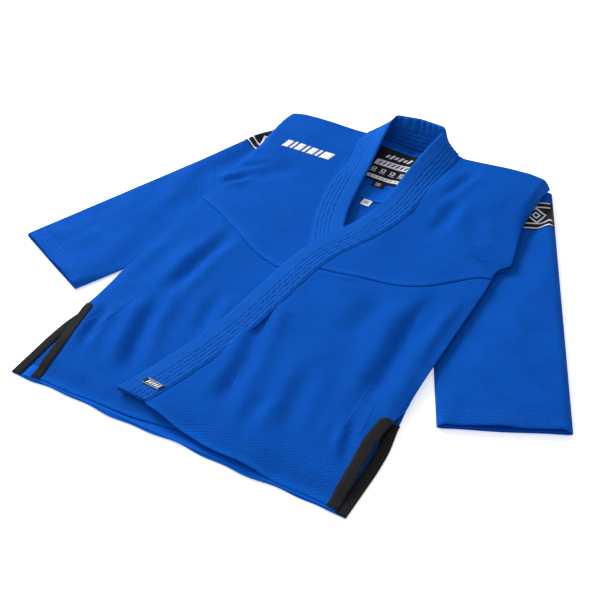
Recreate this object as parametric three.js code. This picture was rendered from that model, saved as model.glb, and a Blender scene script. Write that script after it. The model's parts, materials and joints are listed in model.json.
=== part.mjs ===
// A martial arts jacket lying on its back on a flat surface, front closed left over right, with both
// sleeves swung down beside the body. Units are millimetres, +X is the wearer's left, +Y runs from the
// hem to the collar, +Z is up, and the origin is on the surface under the middle of the back. Panels
// are laid out from the hem line, and the whole jacket is moved to the origin at the end.
//
// Each sewn panel is a thin plate that follows the height of what lies under it. The body is a closed
// pillow of a back and two fronts, its sleeves come out from underneath it, and a quilted band runs
// from one front hem round the neck to the other.
import * as THREE from "three";

// ---- Driving dimensions --------------------------------------------------------------------------
const bodyHalfWidth = 285; // side seam to centre
const bodyLength = 805; // hem to shoulder fold
const ventHeight = 172;
const originHeight = 400; // of the origin over the hem line
const fabric = 2; // pearl weave body cloth
const liningCloth = 1.2; // facings, lining and gussets
const trimCloth = 0.9; // tapes, labels and patches
const seamGap = 0.4; // between pieces that are sewn together
const layerGap = 0.9; // between plates that lie loose on a curved one
const foldGap = 1; // between the two parts of a panel at its fold line

const lapelWidth = 56;
const lapelThickness = 7.2;
const coverCloth = 1.4;
const lapelTuck = 8; // how far a front's edge is held inside the lapel
const lapelEnd = 32; // height of the lapel's lower end over the hem line
const lapHeight = lapelThickness + 2 * seamGap; // of the over front above the under front

const neckHalfWidth = 97; // seam of the band at the shoulder fold
const neckTopHalfWidth = 48; // free edge of the band behind the neck
const bandRise = 68; // height of the free edge behind the neck
const bandLean = 27; // how far the free edge lies behind the shoulder fold

const frontHeight = 18; // top of a front on its fold line
const shoulderRise = 21; // further height of the shoulders
const sleeveLength = 574; // shoulder tip to cuff
const sleeveFlat = 6.2; // thickness of the pressed sleeve under the body
const sleeveCloth = 1.8;
const cuffWidth = 190;
const sleeveHeadWidth = 226;
const sleeveDrop = THREE.MathUtils.degToRad(66.2); // sleeve's angle below straight out
const cuffOpen = 8; // further height of the sleeve where nothing lies on it
const headRise = 18; // further height of the sleeve beside the shoulder tip
const headReach = 110; // how far down the sleeve that height fades
const cuffFacing = 32;

const ventTape = 17;
const hemFacing = 26;
const labelSize = { width: 92, height: 96 };
const tabSize = { width: 24, height: 15 };
const careSize = { width: 17, height: 16 };
const patchSize = { across: 46, along: 72 };
const motifSize = { width: 106, height: 18 };
const ventPatch = { width: 44, height: 62 };
const lapelLabel = { across: 34, along: 13 };
const patchInset = 12; // from the sleeve's folded edge
const patchDrop = 46; // below the shoulder tip
const gussetSize = { across: 64 };
const gussetInset = 18;
const rimShare = 0.05; // share of the sleeve's width over which its edge rounds off

// ---- Small helpers -------------------------------------------------------------------------------
const { lerp, smoothstep, clamp } = THREE.MathUtils;
const vec = (x, y, z = 0) => new THREE.Vector3(x, y, z);

// The height of a curve of [x, y] points at x, by straight lines between them.
function along(points, x) {
  const i = clamp(
    points.findIndex((p) => p[0] > x),
    1,
    points.length - 1,
  );
  const last = x >= points[points.length - 1][0] ? points.length - 1 : i;
  const [a, b] = [points[last - 1], points[last]];
  return lerp(a[1], b[1], clamp((x - a[0]) / (b[0] - a[0]), 0, 1));
}

// A smooth curve through points, as a function of a share from 0 to 1 of its length.
function curveThrough(points) {
  const curve = new THREE.CatmullRomCurve3(points, false, "centripetal");
  curve.arcLengthDivisions = 400;
  return (share) => curve.getPointAt(clamp(share, 0, 1));
}

// The share of a curve at which its y reaches a height, for a curve that climbs in y.
function shareAtY(curve, y) {
  let [low, high] = [0, 1];
  for (let i = 0; i < 40; i++) {
    const middle = (low + high) / 2;
    if (curve(middle).y < y) low = middle;
    else high = middle;
  }
  return (low + high) / 2;
}

// ---- Outline of the body, on the wearer's left; the right is its mirror image ---------------------
const shoulderY = bodyLength;
const hemHalfWidth = bodyHalfWidth + 9;
const armpitY = bodyLength - 240;
const shoulderTip = vec(bodyHalfWidth - 11, shoulderY - 4);

// x of the body's edge at a height y.
const bodyEdge = [
  [0, hemHalfWidth],
  [ventHeight - 60, hemHalfWidth],
  [ventHeight, bodyHalfWidth],
  [armpitY - 40, bodyHalfWidth],
  [armpitY, bodyHalfWidth + 7],
  [armpitY + 50, bodyHalfWidth],
  [armpitY + 130, bodyHalfWidth - 10],
  [shoulderY - 30, bodyHalfWidth - 13],
  [shoulderY, bodyHalfWidth - 13],
];
const edgeAt = (y) => along(bodyEdge, y);

// Chest seam, where the yoke meets the skirt, as [share of the half width, share of the length].
const chestSeam = {
  left: [[-0.4, 0.505], [0.0, 0.513], [0.18, 0.519], [0.35, 0.531], [0.54, 0.544], [0.67, 0.565],
    [0.78, 0.6], [0.87, 0.634], [1.05, 0.66]],
  right: [[-0.4, 0.478], [0.0, 0.483], [0.18, 0.489], [0.33, 0.503], [0.45, 0.522], [0.58, 0.55],
    [0.67, 0.566], [0.75, 0.583], [0.86, 0.6], [1.05, 0.63]],
};
const chestAt = (side, x) =>
  bodyLength * along(chestSeam[side], x / bodyHalfWidth);

// The fold line that a front opens about, from the hem to its upper end beside the lapel.
const foldHem = vec(bodyHalfWidth * 0.7, 0);
const foldTop = vec(bodyHalfWidth * 0.375, bodyLength * 0.79);
const foldAt = (y) => lerp(foldHem.x, foldTop.x, y / foldTop.y);

// ---- Sleeves, in their own frame of distance down from the shoulder tip and distance in -----------
const sleeveDown = vec(Math.cos(sleeveDrop), -Math.sin(sleeveDrop));
const sleeveIn = vec(sleeveDown.y, -sleeveDown.x);
const sleeveWidthAt = (down) =>
  lerp(sleeveHeadWidth, cuffWidth, down / sleeveLength);
const sleeveHide = 16; // how far the inner corner of the sleeve head runs on under the body
const sleevePoint = (down, inward) =>
  shoulderTip
    .clone()
    .addScaledVector(sleeveDown, down)
    .addScaledVector(sleeveIn, inward);

// How far a point lies inside the sleeve's inner edge.
const innerCuff = sleevePoint(sleeveLength, cuffWidth);
const innerHead = sleevePoint(0, sleeveHeadWidth);
const innerEdge = innerCuff.clone().sub(innerHead).normalize();
const insideSleeve = (x, y) =>
  -(x - innerHead.x) * innerEdge.y + (y - innerHead.y) * innerEdge.x;

// ---- Heights of the layers -----------------------------------------------------------------------
const backLift = sleeveFlat + 2.2; // of the back's underside, where a sleeve lies beneath it
const liftReach = (y) => lerp(60, 130, smoothstep(y, bodyLength * 0.4, bodyLength * 0.75));
const backTop = (x, y) =>
  fabric + backLift * smoothstep(insideSleeve(Math.abs(x), y), -liftReach(y), -8);

const rollWidth = 26; // over which a front rolls down to the back at its edge
const shoulderRoll = 20;
const ventLoft = 13; // of a front's free edge below the vent

// Top of a front. The under front passes below the over front at the middle.
function frontTop(side, x, y) {
  const lap = side === "left" ? lapHeight : 0;
  const beyond = foldAt(Math.min(y, foldTop.y)) - x;
  const low = frontHeight - lapHeight / 2;
  const middle = lerp(frontHeight, low + lap, smoothstep(beyond, 0, 60));
  const upper = smoothstep(y, armpitY - 20, shoulderY - 50);
  const outer = smoothstep(x, neckHalfWidth, neckHalfWidth + 110);
  const sunk = 5 * smoothstep(y, armpitY, foldTop.y) * smoothstep(x, 60, 140);
  const crown = middle + shoulderRise * upper * lerp(0.72, 1, outer) - sunk * (1 - upper);
  const seam = backTop(x, y) + fabric + layerGap;
  const edge = lerp(ventLoft, seam, smoothstep(y, ventHeight - 40, ventHeight + 40));
  const fromSide = clamp((edgeAt(y) - x) / rollWidth, 0, 1);
  const fromTop = clamp((shoulderY - y) / shoulderRoll, 0, 1);
  const round = (share) => Math.sqrt(1 - (1 - share) ** 2);
  return lerp(edge, crown, round(fromSide) * round(fromTop));
}

// Top of a sleeve: pressed flat under the body, full beside it and highest at the shoulder tip.
function sleeveTop(point, down) {
  const clear = point.x - edgeAt(clamp(point.y, 0, shoulderY));
  const open = cuffOpen * smoothstep(clear, 14, 60) * smoothstep(down, -20, 90);
  const head = headRise * smoothstep(clear, 14, 34) * Math.exp(-((down / headReach) ** 2));
  return sleeveFlat + open + head;
}

// ---- Solids --------------------------------------------------------------------------------------
// A closed solid of a grid of points and the same grid moved by a thickness along each point's normal.
function gridSolid(columns, rows, topAt, underAt) {
  const positions = [];
  const index = [];
  const stride = rows + 1;
  const count = (columns + 1) * stride;
  for (const at of [topAt, underAt])
    for (let i = 0; i <= columns; i++)
      for (let j = 0; j <= rows; j++)
        positions.push(...at(i / columns, j / rows).toArray());
  const quad = (a, b, c, d) => index.push(a, b, c, a, c, d);
  const top = (i, j) => i * stride + j;
  for (let i = 0; i < columns; i++)
    for (let j = 0; j < rows; j++) {
      const [a, b, c, d] = [top(i, j), top(i + 1, j), top(i + 1, j + 1), top(i, j + 1)];
      quad(a, b, c, d);
      quad(count + a, count + d, count + c, count + b);
    }
  const wall = (a, b) => quad(b, a, count + a, count + b);
  for (let i = 0; i < columns; i++) {
    wall(top(i, 0), top(i + 1, 0));
    wall(top(i + 1, rows), top(i, rows));
  }
  for (let j = 0; j < rows; j++) {
    wall(top(columns, j), top(columns, j + 1));
    wall(top(0, j + 1), top(0, j));
  }
  const geometry = new THREE.BufferGeometry();
  geometry.setAttribute("position", new THREE.Float32BufferAttribute(positions, 3));
  geometry.setIndex(index);
  return geometry;
}

// A sheet between four edges, each a function of a share that gives a plan point, laid on a height.
function panel({ bottom, top, left, right, height, thickness = fabric, columns, rows }) {
  const corners = [bottom(0), bottom(1), top(0), top(1)];
  const plan = (u, v) => {
    const across = bottom(u).clone().lerp(top(u), v);
    const upward = left(v).clone().lerp(right(v), u);
    const low = corners[0].clone().lerp(corners[1], u);
    const high = corners[2].clone().lerp(corners[3], u);
    return across.add(upward).sub(low.lerp(high, v));
  };
  const at = (u, v, drop) => {
    const p = plan(u, v);
    return p.setZ(height(p.x, p.y) - drop);
  };
  return gridSolid(columns, rows, (u, v) => at(u, v, 0), (u, v) => at(u, v, thickness));
}

// A closed profile of [across, out] points carried along stations, each {seam, free} of a band.
function bandSolid(stations, profile) {
  const rings = stations.map(({ seam, free }, i) => {
    const before = stations[Math.max(i - 1, 0)].seam;
    const after = stations[Math.min(i + 1, stations.length - 1)].seam;
    const across = free.clone().sub(seam).normalize();
    const out = across.clone().cross(after.clone().sub(before)).normalize();
    return profile.map(([a, o]) => seam.clone().addScaledVector(across, a).addScaledVector(out, o));
  });
  return ringSolid(rings, profile);
}

// A closed solid through rings of points, capped at both ends by the profile's own triangles.
function ringSolid(rings, profile) {
  const n = profile.length;
  const contour = profile.map(([a, o]) => new THREE.Vector2(a, o));
  const caps = THREE.ShapeUtils.triangulateShape(contour, []);
  const index = [];
  for (let i = 0; i + 1 < rings.length; i++)
    for (let j = 0; j < n; j++) {
      const [a, b] = [i * n + j, i * n + ((j + 1) % n)];
      // The diagonal runs the same way on both faces of the band, so its layers stay parallel.
      if (profile[j][0] <= profile[(j + 1) % n][0]) index.push(a, b, b + n, a, b + n, a + n);
      else index.push(a, b, a + n, b, b + n, a + n);
    }
  const far = (rings.length - 1) * n;
  for (const [a, b, c] of caps) index.push(c, b, a, far + a, far + b, far + c);
  const geometry = new THREE.BufferGeometry();
  const flat = rings.flat().flatMap((p) => p.toArray());
  geometry.setAttribute("position", new THREE.Float32BufferAttribute(flat, 3));
  geometry.setIndex(index);
  return facingOut(geometry);
}

// Turns a closed geometry's faces outwards if its volume comes out negative.
function facingOut(geometry) {
  const p = geometry.attributes.position;
  const index = Array.from(geometry.index.array);
  const corner = (k) => vec(p.getX(k), p.getY(k), p.getZ(k));
  let volume = 0;
  for (let i = 0; i < index.length; i += 3)
    volume += corner(index[i]).dot(corner(index[i + 1]).cross(corner(index[i + 2])));
  if (volume < 0)
    for (let i = 0; i < index.length; i += 3)
      [index[i], index[i + 1]] = [index[i + 1], index[i]];
  geometry.setIndex(index);
  return geometry;
}

// ---- Materials -----------------------------------------------------------------------------------
const finish = (color, roughness) =>
  new THREE.MeshStandardMaterial({ color, roughness, metalness: 0 });
const cloth = {
  weave: finish(0x0b52b8, 0.9),
  drill: finish(0x1a5cc4, 0.85),
  lining: finish(0x0d58c0, 0.85),
  tape: finish(0x1e1e22, 0.9),
  label: finish(0x17171a, 0.7),
  white: finish(0xf2f2f4, 0.8),
  core: finish(0x2c2c30, 0.6),
};

const jacket = new THREE.Group();
function add(name, geometry, material, side = "left") {
  const mesh = new THREE.Mesh(geometry, material);
  mesh.name = name;
  if (side === "right") mesh.scale.x = -1;
  jacket.add(mesh);
}

// ---- Lapel and neck band -------------------------------------------------------------------------
// Seam of a lapel, where it is sewn to the front, as [share of the half width, share of the length].
const seamShares = [[-0.19, 0.04], [-0.12, 0.112], [-0.05, 0.2], [0.004, 0.3], [0.027, 0.4],
  [0.045, 0.475], [0.07, 0.54], [0.125, 0.592], [0.2, 0.64], [0.262, 0.7], [0.3, 0.765],
  [0.318, 0.83]];
const lapelSeam = curveThrough([
  ...seamShares.map(([x, y]) => vec(x * bodyHalfWidth, y * bodyLength)),
  vec(neckHalfWidth - 4, shoulderY - 72),
  vec(neckHalfWidth, shoulderY - 28),
]);
const bandMiddle = (side, x, y) => frontTop(side, x, y) - fabric / 2;

// The point across a lapel from its seam, square to it in plan, on the height of the front's middle.
function lapelStation(side, share) {
  const step = 0.002;
  const seam = lapelSeam(share);
  const ahead = lapelSeam(share + step).sub(lapelSeam(share - step)).normalize();
  const free = seam.clone().add(vec(-ahead.y, ahead.x).multiplyScalar(lapelWidth));
  const level = (p) => p.setZ(bandMiddle(side, Math.min(p.x, foldAt(p.y)), p.y));
  return { seam: level(seam), free: level(free) };
}
const splitY = foldTop.y; // where the moving lapel meets the standing band
const splitShare = shareAtY(lapelSeam, splitY);
const endShare = shareAtY(lapelSeam, lapelEnd + 2);

const half = lapelThickness / 2;
const inner = half - coverCloth;
const foldEdge = lapelWidth - half;
const coreHalf = inner - foldGap / 2;
const coreStart = lapelTuck + 2;
const coreEnd = foldEdge - 3;
const bandShares = [0, 0.25, 0.5, 0.75, 1].map((share) => lerp(coreStart, coreEnd, share));
const face = (across, out) => across.map((a) => [a, out]);
const coverAcross = [seamGap, ...bandShares];
// The cover's seam allowances are turned in along the seam, where they grip the front's edge.
const grip = fabric / 2 + layerGap;
const coverProfile = [
  [seamGap, grip],
  ...face(bandShares, inner),
  [foldEdge + inner * 0.7, 0],
  ...face([...bandShares].reverse(), -inner),
  [seamGap, -grip],
  ...face(coverAcross, -half),
  [foldEdge + half * 0.72, -half * 0.7],
  [lapelWidth, 0],
  [foldEdge + half * 0.72, half * 0.7],
  ...face([...coverAcross].reverse(), half),
];
const coreProfile = [...face(bandShares, -coreHalf), ...face([...bandShares].reverse(), coreHalf)];

const lapelSteps = 16;
for (const side of ["left", "right"]) {
  const stations = Array.from({ length: lapelSteps + 1 }, (_, i) =>
    lapelStation(side, lerp(endShare, splitShare, i / lapelSteps)));
  add(`${side}_lapel_cover`, bandSolid(stations, coverProfile), cloth.drill, side);
  add(`${side}_lapel_core`, bandSolid(stations.slice(0, -1), coreProfile), cloth.core, side);
}

// The standing band runs up one side of the neck, behind it and down the other side.
const bandFoot = fabric + backLift + 3.4; // height of the band's seam behind the neck
function neckStations() {
  const start = lapelStation("left", splitShare + 0.012);
  const under = lapelStation("right", splitShare + 0.012);
  const shoulderZ = frontTop("left", neckHalfWidth, shoulderY - 28);
  const sides = (foot) => ({
    seam: [
      foot.seam,
      vec(neckHalfWidth - 6, shoulderY - 95, lerp(foot.seam.z, shoulderZ, 0.45)),
      vec(neckHalfWidth, shoulderY - 40, shoulderZ - 1),
      vec(neckHalfWidth - 3, shoulderY - 6, shoulderZ - 1),
      vec(neckHalfWidth - 32, shoulderY + 4, lerp(shoulderZ, bandFoot, 0.7)),
    ],
    free: [
      foot.free,
      vec(neckTopHalfWidth - 12, shoulderY - 105, lerp(foot.free.z, bandRise, 0.42)),
      vec(neckTopHalfWidth - 4, shoulderY - 45, lerp(foot.free.z, bandRise, 0.75)),
      vec(neckTopHalfWidth + 1, shoulderY + 8, bandRise - 3),
      vec(neckTopHalfWidth - 10, shoulderY + bandLean - 5, bandRise),
    ],
  });
  const mirror = (p) => vec(-p.x, p.y, p.z);
  const [l, r] = [sides(start), sides(under)];
  const middle = {
    seam: vec(0, shoulderY + 3, bandFoot),
    free: vec(0, shoulderY + bandLean, bandRise + 1),
  };
  const whole = (key) => curveThrough([
    ...l[key], middle[key], ...r[key].map(mirror).reverse()]);
  const [seam, free] = [whole("seam"), whole("free")];
  return Array.from({ length: 27 }, (_, i) => ({ seam: seam(i / 26), free: free(i / 26) }));
}
const neck = neckStations();
add("neck_band_cover", bandSolid(neck, coverProfile), cloth.drill);
add("neck_band_core", bandSolid(neck.slice(1, -1), coreProfile), cloth.core);

// ---- Fronts --------------------------------------------------------------------------------------
// The inner edge of a front, tucked into its lapel by a distance.
const tucked = (share, tuck) => {
  const { seam, free } = lapelStation("left", share);
  return seam.lerp(free, tuck / lapelWidth).setZ(0);
};
const hemRise = [[-0.25, lapelEnd], [-0.1, lapelEnd - 7], [0.05, 14], [0.2, 7], [0.45, 4], [1.1, 2]];
const hemAt = (x) => along(hemRise, x / bodyHalfWidth);
const line = (a, b) => (share) => a.clone().lerp(b, share);
const alongX = (from, to, heightAt) => (share) => {
  const x = lerp(from, to, share);
  return vec(x, heightAt(x));
};
const alongY = (from, to, acrossAt) => (share) => {
  const y = lerp(from, to, share);
  return vec(acrossAt(y), y);
};
const frontVentEdge = { left: 13, right: 34 }; // how far the front's hem corner lies inside the back's
const frontEdge = (side) => (y) =>
  edgeAt(y) - frontVentEdge[side] * (1 - smoothstep(y, 0, ventHeight));

for (const side of ["left", "right"]) {
  const height = (x, y) => frontTop(side, x, y);
  const chest = (x) => chestAt(side, x);
  const foldChest = (() => {
    let y = chest(foldAt(bodyLength / 2));
    for (let i = 0; i < 12; i++) y = chest(foldAt(y));
    return y;
  })();
  const seamShare = (() => {
    let y = chest(0);
    for (let i = 0; i < 12; i++) y = chest(lapelSeam(shareAtY(lapelSeam, y)).x);
    return shareAtY(lapelSeam, y);
  })();
  const inFold = foldGap / 2;
  const chestGap = seamGap / 2;
  const tuckAt = (share) => tucked(share, lapelTuck);
  const below = tuckAt(endShare);
  const atChest = tuckAt(seamShare);

  add(`${side}_skirt_flap`, panel({
    bottom: alongX(below.x, foldHem.x - inFold, hemAt),
    top: alongX(atChest.x, foldAt(foldChest) - inFold, (x) => chest(x) - chestGap),
    left: (v) => tuckAt(lerp(endShare, seamShare, v)),
    right: alongY(hemAt(foldHem.x), foldChest - chestGap, (y) => foldAt(y) - inFold),
    height, columns: 9, rows: 8,
  }), cloth.weave, side);

  const edge = frontEdge(side);
  const sideTop = chest(edge(armpitY - 40));
  add(`${side}_skirt_side`, panel({
    bottom: alongX(foldHem.x + inFold, edge(0), hemAt),
    top: alongX(foldAt(foldChest) + inFold, edge(sideTop), (x) => chest(x) - chestGap),
    left: alongY(hemAt(foldHem.x), foldChest - chestGap, (y) => foldAt(y) + inFold),
    right: alongY(hemAt(edge(0)), sideTop - chestGap, edge),
    height, columns: 9, rows: 12,
  }), cloth.weave, side);

  const flapTop = splitY - foldGap;
  const flapShare = shareAtY(lapelSeam, flapTop);
  add(`${side}_yoke_flap`, panel({
    bottom: alongX(atChest.x, foldAt(foldChest) - inFold, (x) => chest(x) + chestGap),
    top: line(tuckAt(flapShare), vec(foldAt(flapTop) - inFold, flapTop)),
    left: (v) => tuckAt(lerp(seamShare + 0.001, flapShare, v)),
    right: alongY(foldChest + chestGap, flapTop, (y) => foldAt(y) - inFold),
    height, columns: 5, rows: 8,
  }), cloth.weave, side);

  // Beside the neck the yoke stops at the standing band, and below it at the fold line.
  const neckEdge = (y) => lapelSeamX(y) + 1;
  const rowsBelow = 8;
  const yokeRows = 19;
  const kink = rowsBelow / yokeRows;
  const yokeLeft = (v) => {
    const low = alongY(foldChest + chestGap, splitY, (y) => foldAt(y) + inFold);
    const high = alongY(splitY + 4, shoulderY - 1, neckEdge);
    return v < kink + 0.001 ? low(v / kink) : high((v - kink) / (1 - kink));
  };
  add(`${side}_yoke_side`, panel({
    bottom: alongX(foldAt(foldChest) + inFold, edge(sideTop), (x) => chest(x) + chestGap),
    top: alongX(neckEdge(shoulderY - 1), edgeAt(shoulderY), () => shoulderY - 1),
    left: yokeLeft,
    right: alongY(sideTop + chestGap, shoulderY - 1, edgeAt),
    height, columns: 9, rows: yokeRows,
  }), cloth.weave, side);
}

// x of the band's seam at a height y beside the neck.
function lapelSeamX(y) {
  const points = neck.slice(0, 11).map(({ seam }) => [seam.y, seam.x]);
  return along([...points, [shoulderY + 20, points[10][1]]], y);
}

// ---- Back, lining and facings --------------------------------------------------------------------
const neckRise = 6; // how far the back's neckline reaches over the shoulder fold
const shoulderLine = (x) =>
  shoulderY - 2 + neckRise * (1 - smoothstep(Math.abs(x), neckHalfWidth - 50, neckHalfWidth + 5));
add("back_panel", panel({
  bottom: alongX(-hemHalfWidth, hemHalfWidth, () => 0),
  top: alongX(-edgeAt(shoulderY) + 4, edgeAt(shoulderY) - 4, shoulderLine),
  left: alongY(0, shoulderLine(bodyHalfWidth), (y) => -edgeAt(y) + (y > shoulderY - 20 ? 4 : 0)),
  right: alongY(0, shoulderLine(bodyHalfWidth), (y) => edgeAt(y) - (y > shoulderY - 20 ? 4 : 0)),
  height: backTop, columns: 18, rows: 20,
}), cloth.weave);

const onBack = (lift) => (x, y) => backTop(x, y) + lift;
const liningHalf = neckHalfWidth + 18;
const liningLow = shoulderY - 168;
add("back_yoke_lining", panel({
  bottom: alongX(-liningHalf, liningHalf, () => liningLow),
  top: alongX(-liningHalf, liningHalf, () => shoulderY - 14),
  left: alongY(liningLow, shoulderY - 14, () => -liningHalf),
  right: alongY(liningLow, shoulderY - 14, () => liningHalf),
  height: onBack(layerGap + liningCloth), thickness: liningCloth, columns: 10, rows: 7,
}), cloth.lining);

// A small rectangular plate laid on a height, from its centre and size.
function plate(centre, width, length, height, thickness, turn = 0, columns = 3, rows = 3) {
  const [c, s] = [Math.cos(turn), Math.sin(turn)];
  const corner = (u, v) => {
    const [a, b] = [(u - 0.5) * width, (v - 0.5) * length];
    return vec(centre.x + a * c - b * s, centre.y + a * s + b * c);
  };
  return panel({
    bottom: (u) => corner(u, 0), top: (u) => corner(u, 1),
    left: (v) => corner(0, v), right: (v) => corner(1, v),
    height, thickness, columns, rows,
  });
}

const onLining = (lift) => onBack(layerGap + liningCloth + layerGap + lift);
const labelCentre = vec(-14, shoulderY - 20 - labelSize.height / 2);
const labelFoot = labelCentre.y - labelSize.height / 2;
add("neck_label", plate(labelCentre, labelSize.width, labelSize.height,
  onLining(trimCloth), trimCloth, 0, 4, 4), cloth.label);
add("size_tab", plate(vec(labelCentre.x, labelFoot - seamGap - tabSize.height / 2),
  tabSize.width, tabSize.height, onLining(trimCloth), trimCloth, 0, 2, 2), cloth.label);
add("care_label", plate(vec(-10, liningLow - seamGap - careSize.height / 2),
  careSize.width, careSize.height, onBack(seamGap + trimCloth), trimCloth, 0, 2, 2), cloth.white);

const backVentInset = 2;
add("back_hem_facing", panel({
  bottom: alongX(-hemHalfWidth + ventTape + 4, hemHalfWidth - ventTape - 4, () => 2),
  top: alongX(-hemHalfWidth + ventTape + 4, hemHalfWidth - ventTape - 4, () => hemFacing),
  left: alongY(2, hemFacing, () => -hemHalfWidth + ventTape + 4),
  right: alongY(2, hemFacing, () => hemHalfWidth - ventTape - 4),
  height: onBack(seamGap + liningCloth), thickness: liningCloth, columns: 10, rows: 1,
}), cloth.lining);

for (const side of ["left", "right"]) {
  const height = (x, y) => frontTop(side, x, y);
  const edge = frontEdge(side);
  const under = (x, y) => height(x, y) - fabric - layerGap;
  const over = (lift) => (x, y) => height(x, y) + layerGap + lift;
  const facing = (from, to) => panel({
    bottom: alongX(from, to, (x) => hemAt(x) + 1),
    top: alongX(from, to, (x) => hemAt(x) + hemFacing),
    left: alongY(hemAt(from) + 1, hemAt(from) + hemFacing, () => from),
    right: alongY(hemAt(to) + 1, hemAt(to) + hemFacing, () => to),
    height: under, thickness: liningCloth, columns: 5, rows: 1,
  });
  add(`${side}_hem_facing_flap`,
    facing(tucked(endShare, 0).x + 16, foldAt(hemFacing) - 6), cloth.lining, side);
  add(`${side}_hem_facing_side`, facing(foldHem.x + 2, edge(0) - 3), cloth.lining, side);
  const frontTapeTop = ventHeight - 8;
  add(`${side}_vent_front_tape`, panel({
    bottom: alongX(edge(0) - ventTape, edge(0), (x) => hemAt(x)),
    top: alongX(edge(frontTapeTop) - ventTape, edge(frontTapeTop), () => frontTapeTop),
    left: alongY(hemAt(edge(0)), frontTapeTop, (y) => edge(y) - ventTape),
    right: alongY(hemAt(edge(0)), frontTapeTop, edge),
    height: over(trimCloth), thickness: trimCloth, columns: 3, rows: 9,
  }), cloth.tape, side);
  const backEdge = (y) => edgeAt(y) - backVentInset;
  const backTapeTop = ventHeight - 24;
  add(`${side}_vent_back_tape`, panel({
    bottom: alongX(backEdge(0) - ventTape, backEdge(0), () => 1),
    top: alongX(backEdge(backTapeTop) - ventTape, backEdge(backTapeTop), () => backTapeTop),
    left: alongY(1, backTapeTop, (y) => backEdge(y) - ventTape),
    right: alongY(1, backTapeTop, backEdge),
    height: onBack(seamGap + trimCloth), thickness: trimCloth, columns: 2, rows: 7,
  }), cloth.tape, side);
  const ventPatchX = edge(ventHeight) - rollWidth - ventPatch.width / 2;
  add(`${side}_vent_patch`, plate(vec(ventPatchX, ventHeight - 10), ventPatch.width,
    ventPatch.height, over(liningCloth), liningCloth, 0, 4, 4), cloth.weave, side);
}

add("chest_motif", plate(vec(bodyHalfWidth * 0.592, bodyLength * 0.863), motifSize.width,
  motifSize.height, (x, y) => frontTop("right", x, y) + seamGap + trimCloth, trimCloth, 0, 6, 3),
cloth.white, "right");

// The label near the lapel's lower end lies across the band, on its cover.
const labelShare = endShare + 0.042;
const labelStation = lapelStation("left", labelShare);
const labelAcross = labelStation.free.clone().sub(labelStation.seam).normalize();
const labelUp = lapelSeam(labelShare + 0.002).sub(lapelSeam(labelShare - 0.002)).normalize();
const labelStart = lapelWidth * 0.08;
const lapelLabelAt = (lift) => (u, v) =>
  labelStation.seam.clone()
    .addScaledVector(labelAcross, labelStart + (1 - u) * lapelLabel.across)
    .addScaledVector(labelUp, (v - 0.5) * lapelLabel.along)
    .add(vec(0, 0, half + seamGap + lift));
add("lapel_label", gridSolid(2, 1, lapelLabelAt(trimCloth), lapelLabelAt(0)), cloth.label);

// ---- Sleeves -------------------------------------------------------------------------------------
// A round-edged flat section: shares across from 0 to 1, and 1 for a point on the upper layer. Its
// points and the distances of its rings take in the edges of what is sewn to the sleeve.
const shareAcross = (distance) => distance / sleeveHeadWidth;
const patchShares = [0, 0.5, 1].map((k) => shareAcross(patchInset + k * patchSize.across));
const gussetShares = [0, 0.5, 1].map((k) =>
  shareAcross(sleeveHeadWidth - gussetInset - (1 - k) * gussetSize.across));
const sectionRound = [0, 0.012, ...patchShares, 0.38, ...gussetShares, 0.95, 0.988, 1];
const sleeveSection = [
  ...sectionRound.map((share) => ({ share, upper: 1 })),
  ...sectionRound.slice(1, -1).reverse().map((share) => ({ share, upper: 0 })),
];
const patchRows = 3;
const patchRings = Array.from({ length: patchRows + 1 }, (_, i) =>
  patchDrop + (i * patchSize.along) / patchRows);
const facingTop = sleeveLength - cuffFacing;
const lowerRows = 11;
const lowerRings = Array.from({ length: lowerRows }, (_, i) =>
  lerp(patchDrop + patchSize.along, facingTop, (i + 1) / lowerRows));
const sleeveRings = [0, patchDrop / 2, ...patchRings, ...lowerRings, sleeveLength];

// A point on the sleeve's outer face.
function sleeveFace(share, upper, down, inset) {
  const width = sleeveWidthAt(down);
  const skew = sleeveHide * (1 - down / sleeveLength);
  const inward = lerp(inset, width - inset, share);
  const point = sleevePoint(down - (skew * inward) / width, inward);
  const rim = Math.sqrt(clamp(Math.min(share, 1 - share) / rimShare, 0, 1));
  const top = sleeveTop(point, down) - inset;
  const middle = sleeveFlat / 2;
  return point.setZ(upper ? lerp(middle, top, rim) : lerp(middle, inset, rim));
}

// A tube through rings at distances down the sleeve, with a wall from one inset to a deeper one.
function sleeveTube(distances, outset, inset) {
  const n = sleeveSection.length;
  const steps = distances.length - 1;
  const positions = [outset, inset].flatMap((depth) => distances.flatMap((down) =>
    sleeveSection.flatMap(({ share, upper }) => sleeveFace(share, upper, down, depth).toArray())));
  const count = (steps + 1) * n;
  const index = [];
  const quad = (a, b, c, d) => index.push(a, b, c, a, c, d);
  for (let j = 0; j < n; j++) {
    const next = (j + 1) % n;
    for (let i = 0; i < steps; i++) {
      const [a, b] = [i * n + j, i * n + next];
      quad(a, b, b + n, a + n);
      index.push(count + a, count + b + n, count + b, count + a, count + a + n, count + b + n);
    }
    quad(next, j, count + j, count + next);
    const end = steps * n;
    quad(end + j, end + next, count + end + next, count + end + j);
  }
  const geometry = new THREE.BufferGeometry();
  geometry.setAttribute("position", new THREE.Float32BufferAttribute(positions, 3));
  geometry.setIndex(index);
  return facingOut(geometry);
}

// A plate on a sleeve's upper layer, over a run of its section's shares and of its rings.
function onSleeve(shares, distances, thickness) {
  const [columns, rows] = [shares.length - 1, distances.length - 1];
  const at = (lift) => (u, v) => {
    const point = sleeveFace(shares[Math.round(u * columns)], 1, distances[Math.round(v * rows)], 0);
    return point.add(vec(0, 0, seamGap + lift));
  };
  return facingOut(gridSolid(columns, rows, at(thickness), at(0)));
}

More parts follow.
